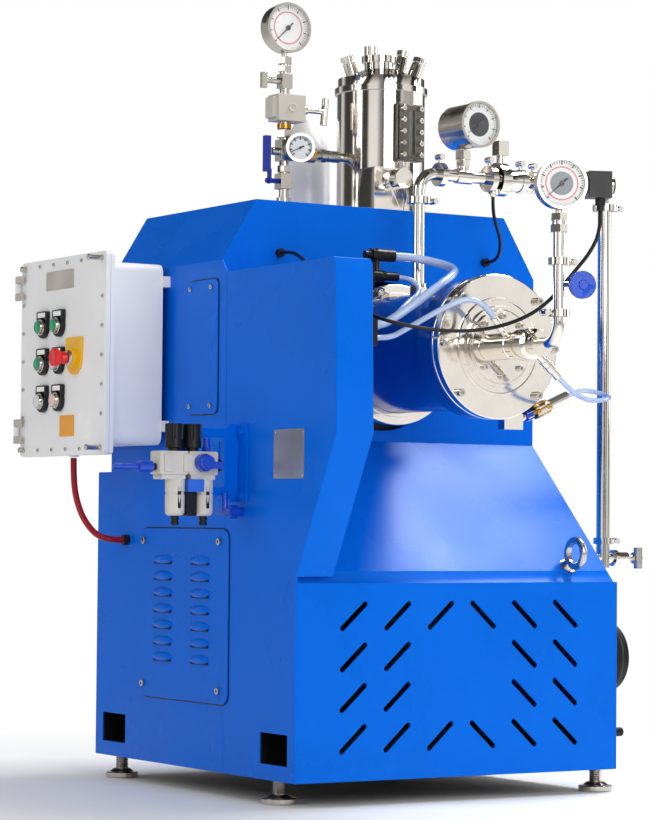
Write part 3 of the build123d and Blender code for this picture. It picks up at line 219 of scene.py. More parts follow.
laid("control_box_cable", [(-470, 747, 668), (-470, 747, 622), (-469, 732, 575), (-463, 704, 532),
                           (-442, 672, 498), (-392, 672, 498)], 13.0, red_rubber, "power_cable")
laid("contact_dial_cable", [(182, 163, 1205), (182, 163, 1178), (197, 175, 1153), (224, 196, 1128),
                            (245, 224, 1103), (252, 252, 1083), (252, 282, 1083)], 7.2,
     black_rubber, "signal_cables")
laid("outlet_dial_cable", [(-248, 282, 1075), (-248, 248, 1075), (-256, 196, 1060), (-268, 142, 1034),
                           (-276, 86, 1004), (-280, 30, 977), (-280, -30, 950), (-268, -84, 927),
                           (-233, -116, 912), (-185, -140, 903), (-133, -155, 900), (-83, -172, 903),
                           (-46, -203, 913), (-17, -238, 930), (4, -268, 954), (24, -286, 984),
                           (50, -294, 1016), (68, -314, 1048), (72.4, -339.6, 1086), (72.4, -339.6, 1125)],
     7.2, black_rubber, "signal_cables")
laid("jacket_hose", [(-102, 100, 1063), (-60, 100, 1063), (-26, 84, 1056), (-10, 48, 1046),
                     (-16, 8, 1034), (-42, -22, 1021), (-80, -42, 1002), (-118, -54, 980),
                     (-154, -54, 956), (-186, -44, 933), (-212, -30, 914), (-247, -30, 914)],
     17.0, clear_pvc, "clear_hoses")
laid("seal_hose", [(-92, 100, 1022), (-64, 100, 1022), (-46, 92, 1006), (-58, 76, 988), (-90, 56, 974),
                   (-130, 36, 948), (-168, 16, 924), (-208, 6, 908), (-247, 6, 908)],
     10.0, clear_pvc, "clear_hoses")
laid("feed_hose", [(-247, -56, 888), (-212, -56, 888), (-190, -80, 905), (-166, -110, 926), (-136, -138, 948),
                   (-100, -156, 965), (-62.99, -160, 953.07), (-43.71, -160, 930.09)], 11.0,
     clear_pvc, "clear_hoses")
laid("return_hose", [(71.62, -212, 817.9), (94.99, -212, 798.29), (128, -206, 782), (168, -192, 776), (204, -186, 780),
                     (230, -167, 786), (237, -137, 794), (224, -111, 800), (204.17, -101, 800.99),
                     (174.71, -101, 788.48)], 9.0, clear_pvc, "clear_hoses")


# Sheet-metal cabinet. Folded steel panels, powder coated in gloss blue: the coat lies thick and smooth,
# with a faint orange peel, and every folded edge is slightly round.
def lacquer(name, code, rough, peel_mm=2.2, gloss=0.25, depth_mm=0.012, tinted=(1, 1, 1, 1)):
    # Powder coat and enamel: a full colour under gloss, with the shallow dimples of a sprayed film.
    made = bpy.data.materials.new(name)
    made.use_nodes = True
    tree = made.node_tree
    tree.nodes.clear()
    spot = node(tree, "ShaderNodeTexCoord")
    peel = node(tree, "ShaderNodeTexNoise", {"Vector": spot.outputs["Object"], "Scale": 1000 / peel_mm, "Detail": 2.0})
    dust = node(tree, "ShaderNodeTexNoise", {"Vector": spot.outputs["Object"], "Scale": 5.0, "Detail": 5.0})
    dull = node(tree, "ShaderNodeMapRange", {0: dust.outputs[0], **noise_span, 3: rough * 0.8, 4: rough * 1.25})
    shade = node(tree, "ShaderNodeMapRange", {0: dust.outputs[0], **noise_span, 3: 0.96, 4: 1.04})
    tint = node(tree, "ShaderNodeMix", {"Factor": 1.0, "A": linear(code), "B": shade.outputs[0]},
                data_type="RGBA", blend_type="MULTIPLY")
    bump = node(tree, "ShaderNodeBump", {"Strength": 0.35, "Distance": depth_mm / 1000, "Height": peel.outputs[0]})
    skin = node(tree, "ShaderNodeBsdfPrincipled", {"Base Color": tint.outputs["Result"], "Roughness": dull.outputs[0],
                                                   "Specular IOR Level": gloss, "Specular Tint": tinted,
                                                   "Normal": bump.outputs[0]})
    node(tree, "ShaderNodeOutputMaterial", {"Surface": skin.outputs[0]})
    return made


blue_coat = lacquer("blue_powder_coat", "0067DB", 0.28, gloss=0.14, tinted=(0.45, 0.72, 1, 1))
black_paint = lacquer("black_frame_paint", "131416", 0.45, 2.0)

body_of = {n: b for b, ns in frame["record"]["behaviour"]["bodies"].items() for n in ns}


def carried(name, material, edge_mm=0.8, smooth=35):
    # A copy of the node's own mesh, merged and with its flat facets joined, so that its edges can be rounded.
    mesh = frame["nodes"][name].data.copy()
    mesh.name = name + "_skin"
    work = bmesh.new()
    work.from_mesh(mesh)
    bmesh.ops.remove_doubles(work, verts=work.verts, dist=2e-6)
    bmesh.ops.dissolve_limit(work, angle_limit=math.radians(0.6), verts=work.verts, edges=work.edges)
    work.to_mesh(mesh)
    work.free()
    mesh.materials.clear()
    mesh.materials.append(material)
    if mesh.has_custom_normals:
        mesh.normals_split_custom_set([(0, 0, 0)] * len(mesh.loops))
    mesh.shade_smooth()
    mesh.set_sharp_from_angle(angle=math.radians(smooth))
    piece = bpy.data.objects.new(name + "_skin", mesh)
    bpy.context.scene.collection.objects.link(piece)
    if edge_mm:
        round_over = piece.modifiers.new("edges", "BEVEL")
        round_over.width, round_over.segments, round_over.limit_method = edge_mm / 1000, 2, "ANGLE"
        round_over.angle_limit, round_over.harden_normals = math.radians(30), True
    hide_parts(name)
    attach(piece, body_of[name])


carried("base_frame", black_paint, 1.0)
carried("cabinet_shell", blue_coat, 1.6)
carried("rear_panel", blue_coat, 1.5)
carried("front_hood", blue_coat, 1.4)
carried("side_wing", blue_coat, 1.8)


# Levelling feet. Turned steel pads on threaded stems, screwed up into the floor rails of the frame. The
# coarse thread of each stem shows between its pad and the rail.
UP = (0, 0, 1)


def metal(name, code, rough, spread, wave_mm=60.0, depth_mm=0.12, grit_mm=1.2, grit_depth_mm=0.004):
    # Stainless steel: polished or turned bright, with faint waves in the sheet and fine marks of the wheel.
    made = bpy.data.materials.new(name)
    made.use_nodes = True
    tree = made.node_tree
    tree.nodes.clear()
    spot = node(tree, "ShaderNodeTexCoord")
    cloud = node(tree, "ShaderNodeTexNoise", {"Vector": spot.outputs["Object"], "Scale": 1000 / wave_mm, "Detail": 3.0})
    grit = node(tree, "ShaderNodeTexNoise", {"Vector": spot.outputs["Object"], "Scale": 1000 / grit_mm, "Detail": 2.0})
    dull = node(tree, "ShaderNodeMapRange", {0: cloud.outputs[0], **noise_span, 3: rough, 4: rough + spread})
    swell = node(tree, "ShaderNodeBump", {"Strength": 0.5, "Distance": depth_mm / 1000, "Height": cloud.outputs[0]})
    marks = node(tree, "ShaderNodeBump", {"Strength": 0.3, "Distance": grit_depth_mm / 1000, "Height": grit.outputs[0],
                                          "Normal": swell.outputs[0]})
    shade = node(tree, "ShaderNodeMapRange", {0: cloud.outputs[0], **noise_span, 3: 0.93, 4: 1.05})
    tint = node(tree, "ShaderNodeMix", {"Factor": 1.0, "A": linear(code), "B": shade.outputs[0]},
                data_type="RGBA", blend_type="MULTIPLY")
    skin = node(tree, "ShaderNodeBsdfPrincipled", {"Base Color": tint.outputs["Result"], "Roughness": dull.outputs[0],
                                                   "Metallic": 1.0, "Normal": marks.outputs[0]})
    node(tree, "ShaderNodeOutputMaterial", {"Surface": skin.outputs[0]})
    return made


turned_steel = metal("turned_stainless", "CEC8BF", 0.17, 0.12)


def turned(work, start, towards, outline, steps=56, ring=False):
    # Spins (distance, radius) pairs about a line, both in millimetres. A ring joins its last pair to its first.
    ahead = Vector(towards).normalized()
    side = ahead.orthogonal().normalized()
    third = ahead.cross(side)
    if not ring:
        outline = [(outline[0][0], 0)] + outline + [(outline[-1][0], 0)]
    loops = []
    for mm, r in outline:
        middle = place(*start) + ahead * mm / 1000
        turns = [2 * math.pi * k / steps for k in range(steps)] if r else [0]
        loops.append([work.verts.new(middle + (side * math.cos(t) + third * math.sin(t)) * r / 1000) for t in turns])
    for a, b in zip(loops, loops[1:] + loops[:1] if ring else loops[1:]):
        for k in range(steps):
            corners = (a[k % len(a)], a[(k + 1) % len(a)], b[(k + 1) % len(b)], b[k % len(b)])
            work.faces.new(list(dict.fromkeys(corners)))


def finished(name, work, material, body, stands_for, edge_mm=0.4, smooth=32):
    # Turns the faces outwards, rounds the edges and hands the piece over.
    bmesh.ops.recalc_face_normals(work, faces=work.faces)
    mesh = bpy.data.meshes.new(name)
    work.to_mesh(mesh)
    work.free()
    mesh.materials.append(material)
    mesh.shade_smooth()
    mesh.set_sharp_from_angle(angle=math.radians(smooth))
    piece = bpy.data.objects.new(name, mesh)
    bpy.context.scene.collection.objects.link(piece)
    if edge_mm:
        round_over = piece.modifiers.new("edges", "BEVEL")
        round_over.width, round_over.segments, round_over.limit_method = edge_mm / 1000, 2, "ANGLE"
        round_over.angle_limit, round_over.harden_normals = math.radians(30), True
    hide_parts(stands_for)
    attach(piece, body)


work = bmesh.new()
for x, y in ((-350, 104), (365, 50), (-345, 752), (345, 752)):
    turned(work, (x, y, 0), UP, [(0, 31), (2, 34), (10.5, 34), (12, 32), (12.5, 26), (19, 17), (19, 13)]
           + [(20 + 1.8 * i, 13 if i % 2 else 11.8) for i in range(15)] + [(47, 12)])
finished("foot_set", work, turned_steel, "machine", "levelling_feet")


# Side covers. Two pressed steel covers, coated like the cabinet and held by socket screws: the lower one
# carries two columns of pressed louvres, each with a black strip in its opening as painted shade. A black
# strip a little wider than each cover lies under it, painted shade for the gap round its edge.
LEFT, side_x = (-1, 0, 0), -380


def rounded(work, middle, out, wide, tall, thick, radius=1.0, steps=5):
    # A plate with round corners. `middle` is the centre of its back, `out` the way it faces.
    out = Vector(out).normalized()
    side = Vector((1, 0, 0)) if abs(out.z) > 0.9 else Vector((0, 0, 1)).cross(out).normalized()
    rise = out.cross(side)
    ring = []
    for cx, cy, turn in ((1, 1, 0), (-1, 1, 90), (-1, -1, 180), (1, -1, 270)):
        for k in range(steps + 1):
            a = math.radians(turn + 90 * k / steps)
            ring.append(side * (cx * (wide / 2 - radius) + radius * math.cos(a))
                        + rise * (cy * (tall / 2 - radius) + radius * math.sin(a)))
    back = [work.verts.new(place(*middle) + v / 1000) for v in ring]
    front = [work.verts.new(place(*middle) + (v + out * thick) / 1000) for v in ring]
    work.faces.new(back)
    work.faces.new(front)
    for k in range(len(ring)):
        j = (k + 1) % len(ring)
        work.faces.new((back[k], back[j], front[j], front[k]))


def geometry_tree(name, sizes):
    # An empty tree of geometry nodes with its named sizes, in metres, as inputs.
    tree = bpy.data.node_groups.new(name, "GeometryNodeTree")
    tree.interface.new_socket("Geometry", in_out="INPUT", socket_type="NodeSocketGeometry")
    for key, value in sizes.items():
        kind = {int: "NodeSocketInt", float: "NodeSocketFloat"}.get(type(value), "NodeSocketVector")
        tree.interface.new_socket(key, in_out="INPUT", socket_type=kind).default_value = value
    tree.interface.new_socket("Skin", in_out="INPUT", socket_type="NodeSocketMaterial")
    tree.interface.new_socket("Geometry", in_out="OUTPUT", socket_type="NodeSocketGeometry")
    return tree, tree.nodes.new("NodeGroupInput")


def copies_end(tree, given, shape, turn):
    # The shape on every point, turned, made real and given its material.
    spread = node(tree, "GeometryNodeInstanceOnPoints", {"Points": given.outputs["Geometry"], "Instance": shape,
                                                         "Rotation": turn})
    real = node(tree, "GeometryNodeRealizeInstances", {"Geometry": spread.outputs[0]})
    skinned = node(tree, "GeometryNodeSetMaterial", {"Geometry": real.outputs[0], "Material": given.outputs["Skin"]})
    smooth = node(tree, "GeometryNodeSetShadeSmooth", {0: skinned.outputs[0]})
    tree.links.new(smooth.outputs[0], tree.nodes.new("NodeGroupOutput").inputs[0])


def grown(name, seed, tree, sizes, material, body, stands_for):
    # Runs a tree over the given points and keeps the result as a plain mesh.
    points = bpy.data.meshes.new(name)
    points.from_pydata([place(*p) for p in seed], [], [])
    piece = bpy.data.objects.new(name, points)
    bpy.context.scene.collection.objects.link(piece)
    maker = piece.modifiers.new("maker", "NODES")
    maker.node_group = tree
    for item in tree.interface.items_tree:
        if item.in_out == "INPUT" and item.name in sizes:
            maker[item.identifier] = sizes[item.name]
        if item.in_out == "INPUT" and item.name == "Skin":
            maker[item.identifier] = material
    bpy.context.view_layer.update()
    mesh = bpy.data.meshes.new_from_object(piece.evaluated_get(bpy.context.evaluated_depsgraph_get()))
    piece.modifiers.remove(maker)
    piece.data = mesh
    mesh.set_sharp_from_angle(angle=math.radians(32))
    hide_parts(stands_for)
    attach(piece, body)


# A socket screw: a round head with a sunk socket.
screws, given = geometry_tree("socket_screws", {"Radius": 0.006, "Height": 0.006, "Share": 0.5, "Depth": -0.003,
                                                "Facing": Vector((0, 0, 0))})
head = node(screws, "GeometryNodeMeshCylinder", {"Vertices": 24, "Radius": given.outputs["Radius"],
                                                 "Depth": given.outputs["Height"]})
rim = node(screws, "GeometryNodeExtrudeMesh", {"Mesh": head.outputs["Mesh"], "Selection": head.outputs["Top"],
                                               "Offset Scale": 0.0006}, mode="FACES")
chamfer = node(screws, "GeometryNodeScaleElements", {"Geometry": rim.outputs[0], "Selection": rim.outputs["Top"],
                                                     "Scale": 0.9})
inner = node(screws, "GeometryNodeExtrudeMesh", {"Mesh": chamfer.outputs[0], "Selection": rim.outputs["Top"],
                                                 "Offset Scale": 0.0}, mode="FACES")
inset = node(screws, "GeometryNodeScaleElements", {"Geometry": inner.outputs[0], "Selection": inner.outputs["Top"],
                                                   "Scale": given.outputs["Share"]})
sunk = node(screws, "GeometryNodeExtrudeMesh", {"Mesh": inset.outputs[0], "Selection": inner.outputs["Top"],
                                                "Offset Scale": given.outputs["Depth"]}, mode="FACES")
half_up = node(screws, "ShaderNodeMath", {0: given.outputs["Height"], 1: 0.5}, operation="MULTIPLY")
lift = node(screws, "ShaderNodeCombineXYZ", {2: half_up.outputs[0]})
raised = node(screws, "GeometryNodeTransform", {"Geometry": sunk.outputs[0], "Translation": lift.outputs[0]})
copies_end(screws, given, raised.outputs[0], given.outputs["Facing"])

# A pressed louvre: a low oval bulge.
bulges, given = geometry_tree("louvres", {"Proud": 0.007, "Long": 0.04, "Tall": 0.0095})
ball = node(bulges, "GeometryNodeMeshUVSphere", {"Segments": 32, "Rings": 16, "Radius": 1.0})
oval = node(bulges, "ShaderNodeCombineXYZ", {0: given.outputs["Proud"], 1: given.outputs["Long"],
                                             2: given.outputs["Tall"]})
flat = node(bulges, "GeometryNodeTransform", {"Geometry": ball.outputs[0], "Scale": oval.outputs[0]})
copies_end(bulges, given, flat.outputs[0], (0, 0, 0))

to_left = Vector(LEFT).to_track_quat("Z", "Y").to_euler()
cover_at, hatch_at = (side_x, 428.5, 351.5), (side_x, 362.5, 884.5)
louvre_columns, louvre_rows, louvre_step, louvre_z, shade_strip_z = (513, 360), 7, 32.8, 263.5, 256.4
work = bmesh.new()
rounded(work, cover_at, LEFT, 357, 343, 3, 22)
rounded(work, hatch_at, LEFT, 121, 267, 3, 14)
finished("cover_plates", work, blue_coat, "machine", "side_covers", 0.8)
# A thin black plate just wider than each cover, under it: painted shade for the gap round the cover's edge.
work = bmesh.new()
rounded(work, cover_at, LEFT, 362, 348, 0.9, 24)
rounded(work, hatch_at, LEFT, 126, 272, 0.9, 16)
finished("cover_shade_rims", work, black_rubber, "machine", "side_covers", 0.2)
louvres = [(side_x - 3, y, louvre_z + louvre_step * k) for y in louvre_columns for k in range(louvre_rows)]
grown("cover_louvres", louvres, bulges,
      {"Proud": 0.0069, "Long": 0.0395, "Tall": 0.0094}, blue_coat, "machine", "side_covers")
# Under each louvre a thin black strip stands out of the cover: painted shade in its opening.
work = bmesh.new()
for y in louvre_columns:
    for k in range(louvre_rows):
        rounded(work, (side_x - 2.8, y, shade_strip_z + louvre_step * k), LEFT, 70, 4.6, 2.6, 2.2)
finished("louvre_shade_strips", work, black_paint, "machine", "side_covers", 0.3)
grown("cover_screws", [(side_x - 3, y, z) for y in (283, 592) for z in (206, 498)], screws,
      {"Radius": 0.0069, "Height": 0.0053, "Facing": to_left}, turned_steel, "machine",
      "machine_bolts")
grown("hatch_screws", [(side_x - 3, y, z) for y in (326, 410) for z in (767, 1002)], screws,
      {"Radius": 0.0049, "Height": 0.0033, "Facing": to_left}, turned_steel, "machine",
      "machine_bolts")


# Lifting eye and data plate. A forged steel eye is screwed through the sloped panel on a collar, and a
# blank satin plate is riveted to the side.
# Satin stainless sheet: a soft grey without clear reflections.
plate_metal = metal("satin_plate", "C9CACB", 0.32, 0.1, 40, 0.03)
plate_y, plate_z = 30, 667
carried("lifting_eye", turned_steel, 1.2)
work = bmesh.new()
rounded(work, (side_x, plate_y, plate_z), LEFT, 110, 94, 1.0, 3)
rounded(work, (side_x - 0.9, plate_y, plate_z), LEFT, 104, 88, 0.3, 2)
finished("plate_blank", work, plate_metal, "machine", "data_plate", 0.15)
grown("plate_rivets", [(side_x - 1.2, plate_y + a, plate_z + b) for a in (-49, 49) for b in (-41, 41)], screws,
      {"Radius": 0.0025, "Height": 0.0010, "Share": 0.4, "Depth": -0.0003, "Facing": to_left}, turned_steel,
      "machine", "data_plate")


# Drive. A cast grey motor stands on the frame floor, and rubber belts take its turning up to the mill shaft,
# which runs in a cast bearing housing and carries the steel agitator discs.
# Painted cast iron: dull grey over a coarse sand-cast skin.
cast_paint = lacquer("grey_casting_paint", "4B5056", 0.5, 3.0, 0.4, 0.06)
carried("drive_motor", cast_paint, 1.0)
carried("motor_pulley", turned_steel, 1.0)
carried("drive_belts", black_rubber, 1.0)
carried("bearing_housing", cast_paint, 1.0)
carried("mill_shaft", turned_steel, 1.0)
carried("agitator_discs", turned_steel, 1.0)


# Grinding chamber. A coated steel jacket stands out of the cabinet between a polished rear ring and a
# polished end flange, all turned on one axis.
FORWARD, axis_z = (0, -1, 0), 878
to_front = Vector(FORWARD).to_track_quat("Z", "Y").to_euler()
# Polished stainless: near to a mirror, so it shows the room in streaks.
bright_steel = metal("polished_stainless", "EAE4DB", 0.06, 0.07)
# The jacket's enamel is the cabinet's gloss blue made darker in its colour: painted shade and painted dark reflection.
jacket_shaded_coat = lacquer("jacket_shaded_blue_coat", "0A489E", 0.16, 2.2, 0.5)
carried("chamber_jacket", jacket_shaded_coat, 1.0)
work = bmesh.new()
turned(work, (0, -88, axis_z), FORWARD, [(-4, 131), (0, 132), (0, 136), (1.5, 139.5), (3, 140), (7, 140), (7.6, 138.6),
                                         (9.4, 138.6), (10, 140), (25, 140), (27, 138), (27, 101)], 96)
turned(work, (0, 262, axis_z), FORWARD, [(0, 118.2), (0, 141), (2, 143), (24, 143), (26, 141), (26, 126), (31, 126),
                                         (31, 118.2)], 96, True)
finished("chamber_rings", work, bright_steel, "machine", "chamber_flanges", 0.5)


# End cover. A turned cover with stepped rings is screwed to the flange, and the outlet hub on it ends in a
# clamped ferrule. The drain and the feed hoses leave the hub at an angle.
bolt_circle, plate_circle = 129, 58
work = bmesh.new()
turned(work, (0, -115, axis_z), FORWARD, [(0, 95), (5, 94.5), (5, 90), (2.2, 89), (2.2, 78), (8, 78), (8, 72),
                                          (7, 71), (7, 69), (11.5, 69), (12, 68.5), (12, 20)], 96)
finished("cover_rings", work, bright_steel, "machine", "end_cover", 0.4)
work = bmesh.new()
turned(work, (0, -127, axis_z), FORWARD, [(0, 25.9), (38, 25.9), (39, 24), (41, 24), (42, 25.9), (65, 25.9), (65, 30.4),
                                          (99, 30.4), (101, 25), (103, 22), (123, 21.8), (123, 24.9), (131, 24.9)])
drain = Vector((math.cos(math.radians(40)), 0, -math.sin(math.radians(40))))
feed = Vector((-math.cos(math.radians(50)), 0, math.sin(math.radians(50))))
turned(work, (0, -212, axis_z), drain, [(24, 8), (47, 8), (47, 10), (58, 10), (58, 8.8), (61, 8.8), (61, 10),
                                     (74, 10), (74, 8), (93.4, 8)])
turned(work, (0, -160, axis_z), feed, [(20, 5), (38, 5), (38, 9), (49, 9), (49, 7.6), (68, 7.6)])
finished("hub_body", work, bright_steel, "machine", "outlet_hub", 0.4)
flange_bolts = [(bolt_circle * math.cos(math.radians(a)), -115, axis_z + bolt_circle * math.sin(math.radians(a)))
                for a in (0, 45, 135, 180, 225, 315)]
grown("flange_screws", flange_bolts, screws, {"Radius": 0.0075, "Height": 0.0113, "Depth": -0.005,
                                              "Facing": to_front}, turned_steel, "machine",
      "machine_bolts")
plate_bolts = [(plate_circle * math.cos(math.radians(a)), -127, axis_z + plate_circle * math.sin(math.radians(a)))
               for a in (45, 90, 135, 225, 270, 315)]
grown("plate_screws", plate_bolts, screws, {"Radius": 0.0055, "Height": 0.0073, "Depth": -0.004,
                                            "Facing": to_front}, turned_steel, "machine",
      "machine_bolts")


# Pipework. Polished tube rises from the jacket and the outlet, joined by hinged clamps, and falls down the
# right side to the sampling tee. The blue knob and the sample handle sit on it, and the drain ends in a
# brass valve body screwed on over a blue adaptor.
# Turned brass is warm with soft highlights, and anodised aluminium keeps the metal's gloss under its blue.
brass = metal("turned_brass", "C08F42", 0.2, 0.12)
anodised = metal("blue_anodised", "1F4FD0", 0.25, 0.1)
knob_blue = sheath("blue_knob_moulding", "0048C8", 0.33, 1.5, 0.03, 0.4, 0.2)
carried("outlet_standpipe", bright_steel, 0.6)
carried("process_pipes", bright_steel, 0.6)
carried("pipe_clamps", bright_steel, 0.9)
carried("sample_handle", turned_steel, 0.8)
carried("hand_knob", knob_blue, 1.0)
chain_at, chain_n = Vector((44, -101, 733)), Vector((math.cos(math.radians(23)), 0, math.sin(math.radians(23))))
work = bmesh.new()
turned(work, chain_at, chain_n, [(55.5, 14), (57, 15.6), (64, 15.6), (65, 14.4), (81, 14.4), (82, 15.6), (89, 15.6),
                                 (90.5, 14)], 6)
finished("drain_valve_body", work, brass, "machine", "process_pipes", 0.6)
work = bmesh.new()
turned(work, chain_at, chain_n, [(33.5, 10), (34.5, 11.8), (47.5, 11.8), (48.5, 10)], 6)
finished("drain_adaptor", work, anodised, "machine", "process_pipes", 0.4)


# Seal vessel. A polished stainless pot stands on the roof under a clamped lid with capped nozzles, and a
# screwed block on its front holds the sight glass. A painted tank stands behind it.
# Enamel on the tank is smooth and pale, and the block is blackened steel, dark with a soft shine.
tank_paint = lacquer("pale_tank_enamel", "DEDCD8", 0.3, 2.0, 0.5)
carried("vessel_shell", bright_steel, 0.8)
carried("vessel_lid", bright_steel, 0.8)
dark_block = metal("dark_sight_steel", "77726C", 0.16, 0.1)
work = bmesh.new()
rounded(work, (85.5, 350, 1347), FORWARD, 63, 120, 25, 3)
for x in (68.5, 105.5):
    rounded(work, (x, 325, 1347), FORWARD, 23, 114, 5, 2)
for z in (1296, 1398.5):
    rounded(work, (87, 325, z), FORWARD, 14.5, 11, 5, 1)
finished("sight_body", work, dark_block, "machine", "sight_block", 0.6)
grown("sight_screws", [(x, 320, 1300 + 24 * k) for k in range(5) for x in (64, 107)], screws,
      {"Radius": 0.0055, "Height": 0.0073, "Depth": -0.004, "Facing": to_front}, bright_steel,
      "machine", "sight_block")
carried("service_tank", tank_paint, 1.0)


# Gauge stack. Turned unions, nuts and a pale cast regulator body stand in a column beside the vessel, with
# a purge handle, a bar handle and a blue lever.
# The regulator's coat is dull over its casting, and the lever's grip is dipped PVC with a slight gloss.
pale_casting = lacquer("pale_regulator_coat", "C9C2B6", 0.5, 1.2, 0.4, 0.05)
lever_grip = sheath("dark_blue_grip", "0A2E9A", 0.33, 1.5, 0.03, 0.4, 0.2)
carried("stack_fittings", turned_steel, 0.8)
carried("stack_lever", lever_grip, 1.5)
work = bmesh.new()
rounded(work, (-150, 451.4, 1389), FORWARD, 64.8, 54.8, 43.8, 2)
rounded(work, (-181.6, 431, 1389), LEFT, 30.8, 42.8, 10.8, 2)
turned(work, (-150, 408, 1389), FORWARD, [(0, 9), (2.5, 9), (2.5, 6.5), (1, 5)], 32)
finished("regulator_body", work, pale_casting, "machine", "stack_fittings", 0.8)
work = bmesh.new()
turned(work, (-156, 430, 1346), UP, [(-0.5, 12), (0.5, 14.6), (11, 14.6), (12.5, 12)], 40)
turned(work, (-104.5, 430, 1298), (1, 0, 0), [(0, 14), (1.2, 16.4), (21.4, 16.4), (22.6, 14)], 6)
finished("stack_unions", work, brass, "machine", "stack_fittings", 0.5)
carried("regulator_handle", bright_steel, 1.0)
carried("purge_handle", turned_steel, 1.0)


# Dials. Pressed stainless cases hold printed white faces with black marks, a coloured arc and a black
# pointer under clear panes. The outlet dial has a black terminal box beside it.
# Printed dials are flat and even. Moulded ABS is darker, with a fine grain.
dial_print = sheath("white_dial_print", "F4F5F3", 0.55, 1.0, 0.01)
mark_print = sheath("black_dial_print", "17181A", 0.55, 1.0, 0.005)
pink_print = sheath("pink_dial_print", "E58A96", 0.55, 1.0, 0.005)
grey_print = sheath("grey_dial_print", "8F9499", 0.5, 1.0, 0.01)
black_plastic = sheath("black_moulding", "121315", 0.35, 1.5, 0.04)
glass = bpy.data.materials.new("dial_glass")
glass.use_nodes = True
tree = glass.node_tree
tree.nodes.clear()
# Float glass, almost clear: a thin grey film with a sharp highlight.
spot = node(tree, "ShaderNodeTexCoord")
film = node(tree, "ShaderNodeTexNoise", {"Vector": spot.outputs["Object"], "Scale": 30.0})
thin = node(tree, "ShaderNodeMapRange", {0: film.outputs[0], **noise_span, 3: 0.03, 4: 0.05})
pane = node(tree, "ShaderNodeBsdfPrincipled", {"Base Color": (1, 1, 1, 1), "Roughness": 0.02, "Alpha": thin.outputs[0],
                                               "Specular IOR Level": 0.5})
node(tree, "ShaderNodeOutputMaterial", {"Surface": pane.outputs[0]})
carried("gauge_cases", turned_steel, 0.7)
carried("gauge_pointers", black_plastic, 0)
carried("clear_windows", glass, 0)
carried("terminal_box", black_plastic, 1.5)
out = Vector((-math.sin(math.radians(22)), -math.cos(math.radians(22)), 0))
side = Vector(UP).cross(out)
work = bmesh.new()
turned(work, Vector((-7, -328, 1173)) + side * 74 - out * 19, side, [(21, 16.4), (26, 16.4), (27, 15), (28.8, 15),
                                                                     (29, 14), (29, 6), (28, 5)], 40)
finished("terminal_cap", work, turned_steel, "machine", "terminal_box", 0.4)
# Dial marks: short bars set round an arc, long bars from the same tree with other sizes.
marks, given = geometry_tree("dial_marks", {"Radius": 0.035, "Count": 31, "Bar": Vector((0.0012, 0.004, 0.0004)),
                                            "Facing": Vector((0, 0, 0))})
arc = node(marks, "GeometryNodeCurveArc", {"Resolution": given.outputs["Count"], "Radius": given.outputs["Radius"],
                                           "Start Angle": math.radians(-45), "Sweep Angle": math.radians(270)})
spots = node(marks, "GeometryNodeCurveToPoints", {"Curve": arc.outputs[0], "Count": given.outputs["Count"]},
             mode="COUNT")
bar = node(marks, "GeometryNodeMeshCube", {"Size": given.outputs["Bar"]})
where = node(marks, "GeometryNodeInputPosition")
facing_out = node(marks, "FunctionNodeAlignEulerToVector", {"Vector": where.outputs[0]}, axis="Y", pivot_axis="Z")
one = node(marks, "GeometryNodeInstanceOnPoints", {"Points": spots.outputs[0], "Instance": bar.outputs[0],
                                                   "Rotation": facing_out.outputs[0]})
ring_real = node(marks, "GeometryNodeRealizeInstances", {"Geometry": one.outputs[0]})
copies_end(marks, given, ring_real.outputs[0], given.outputs["Facing"])

dials = (("top", (-155, 413, 1555), 0, 52), ("contact", (107, 100, 1341), 0, 47),
         ("outlet", (-7, -328, 1173), 22, 48.5), ("branch", (-139, 392, 1306), 22, 30))
paper, greys, pinks, works = bmesh.new(), bmesh.new(), bmesh.new(), bmesh.new()
for name, middle, turn, r in dials:
    out = Vector((-math.sin(math.radians(turn)), -math.cos(math.radians(turn)), 0))
    turned(paper, middle, out, [(-8, r - 5.1), (-7.2, r - 5.1)])
    if name in ("top", "outlet"):
        turned(pinks, Vector(middle) + out * -7.2, out, [(0, r * 0.60), (0, r * 0.66), (0.25, r * 0.66),
                                                         (0.25, r * 0.60)], 48, True)
    if name == "contact":
        turned(works, Vector(middle) + out * -7.2, out, [(0, r * 0.52), (0.25, r * 0.52)], 48)
    if name == "outlet":
        turned(greys, Vector(middle) + out * -7.2, out, [(0, r * 0.46), (0.25, r * 0.46)], 48)
    facing = out.to_track_quat("Z", "Y").to_euler()
    seat = tuple(Vector(middle) + out * -7.0)
    grown(name + "_fine_marks", [seat], marks, {"Radius": (r - 9) / 1000, "Count": 41, "Facing": facing,
                                                "Bar": (0.0011, 0.0036, 0.0003)}, mark_print, "machine",
          "gauge_dials")
    grown(name + "_long_marks", [seat], marks, {"Radius": (r - 10) / 1000, "Count": 9, "Facing": facing,
                                                "Bar": (0.0024, 0.0070, 0.0003)}, mark_print, "machine",
          "gauge_dials")
finished("dial_faces", paper, dial_print, "machine", "gauge_dials", 0)
finished("dial_centres", greys, grey_print, "machine", "gauge_dials", 0)
finished("contact_works", works, mark_print, "machine", "gauge_dials", 0)
finished("dial_arcs", pinks, pink_print, "machine", "gauge_dials", 0)


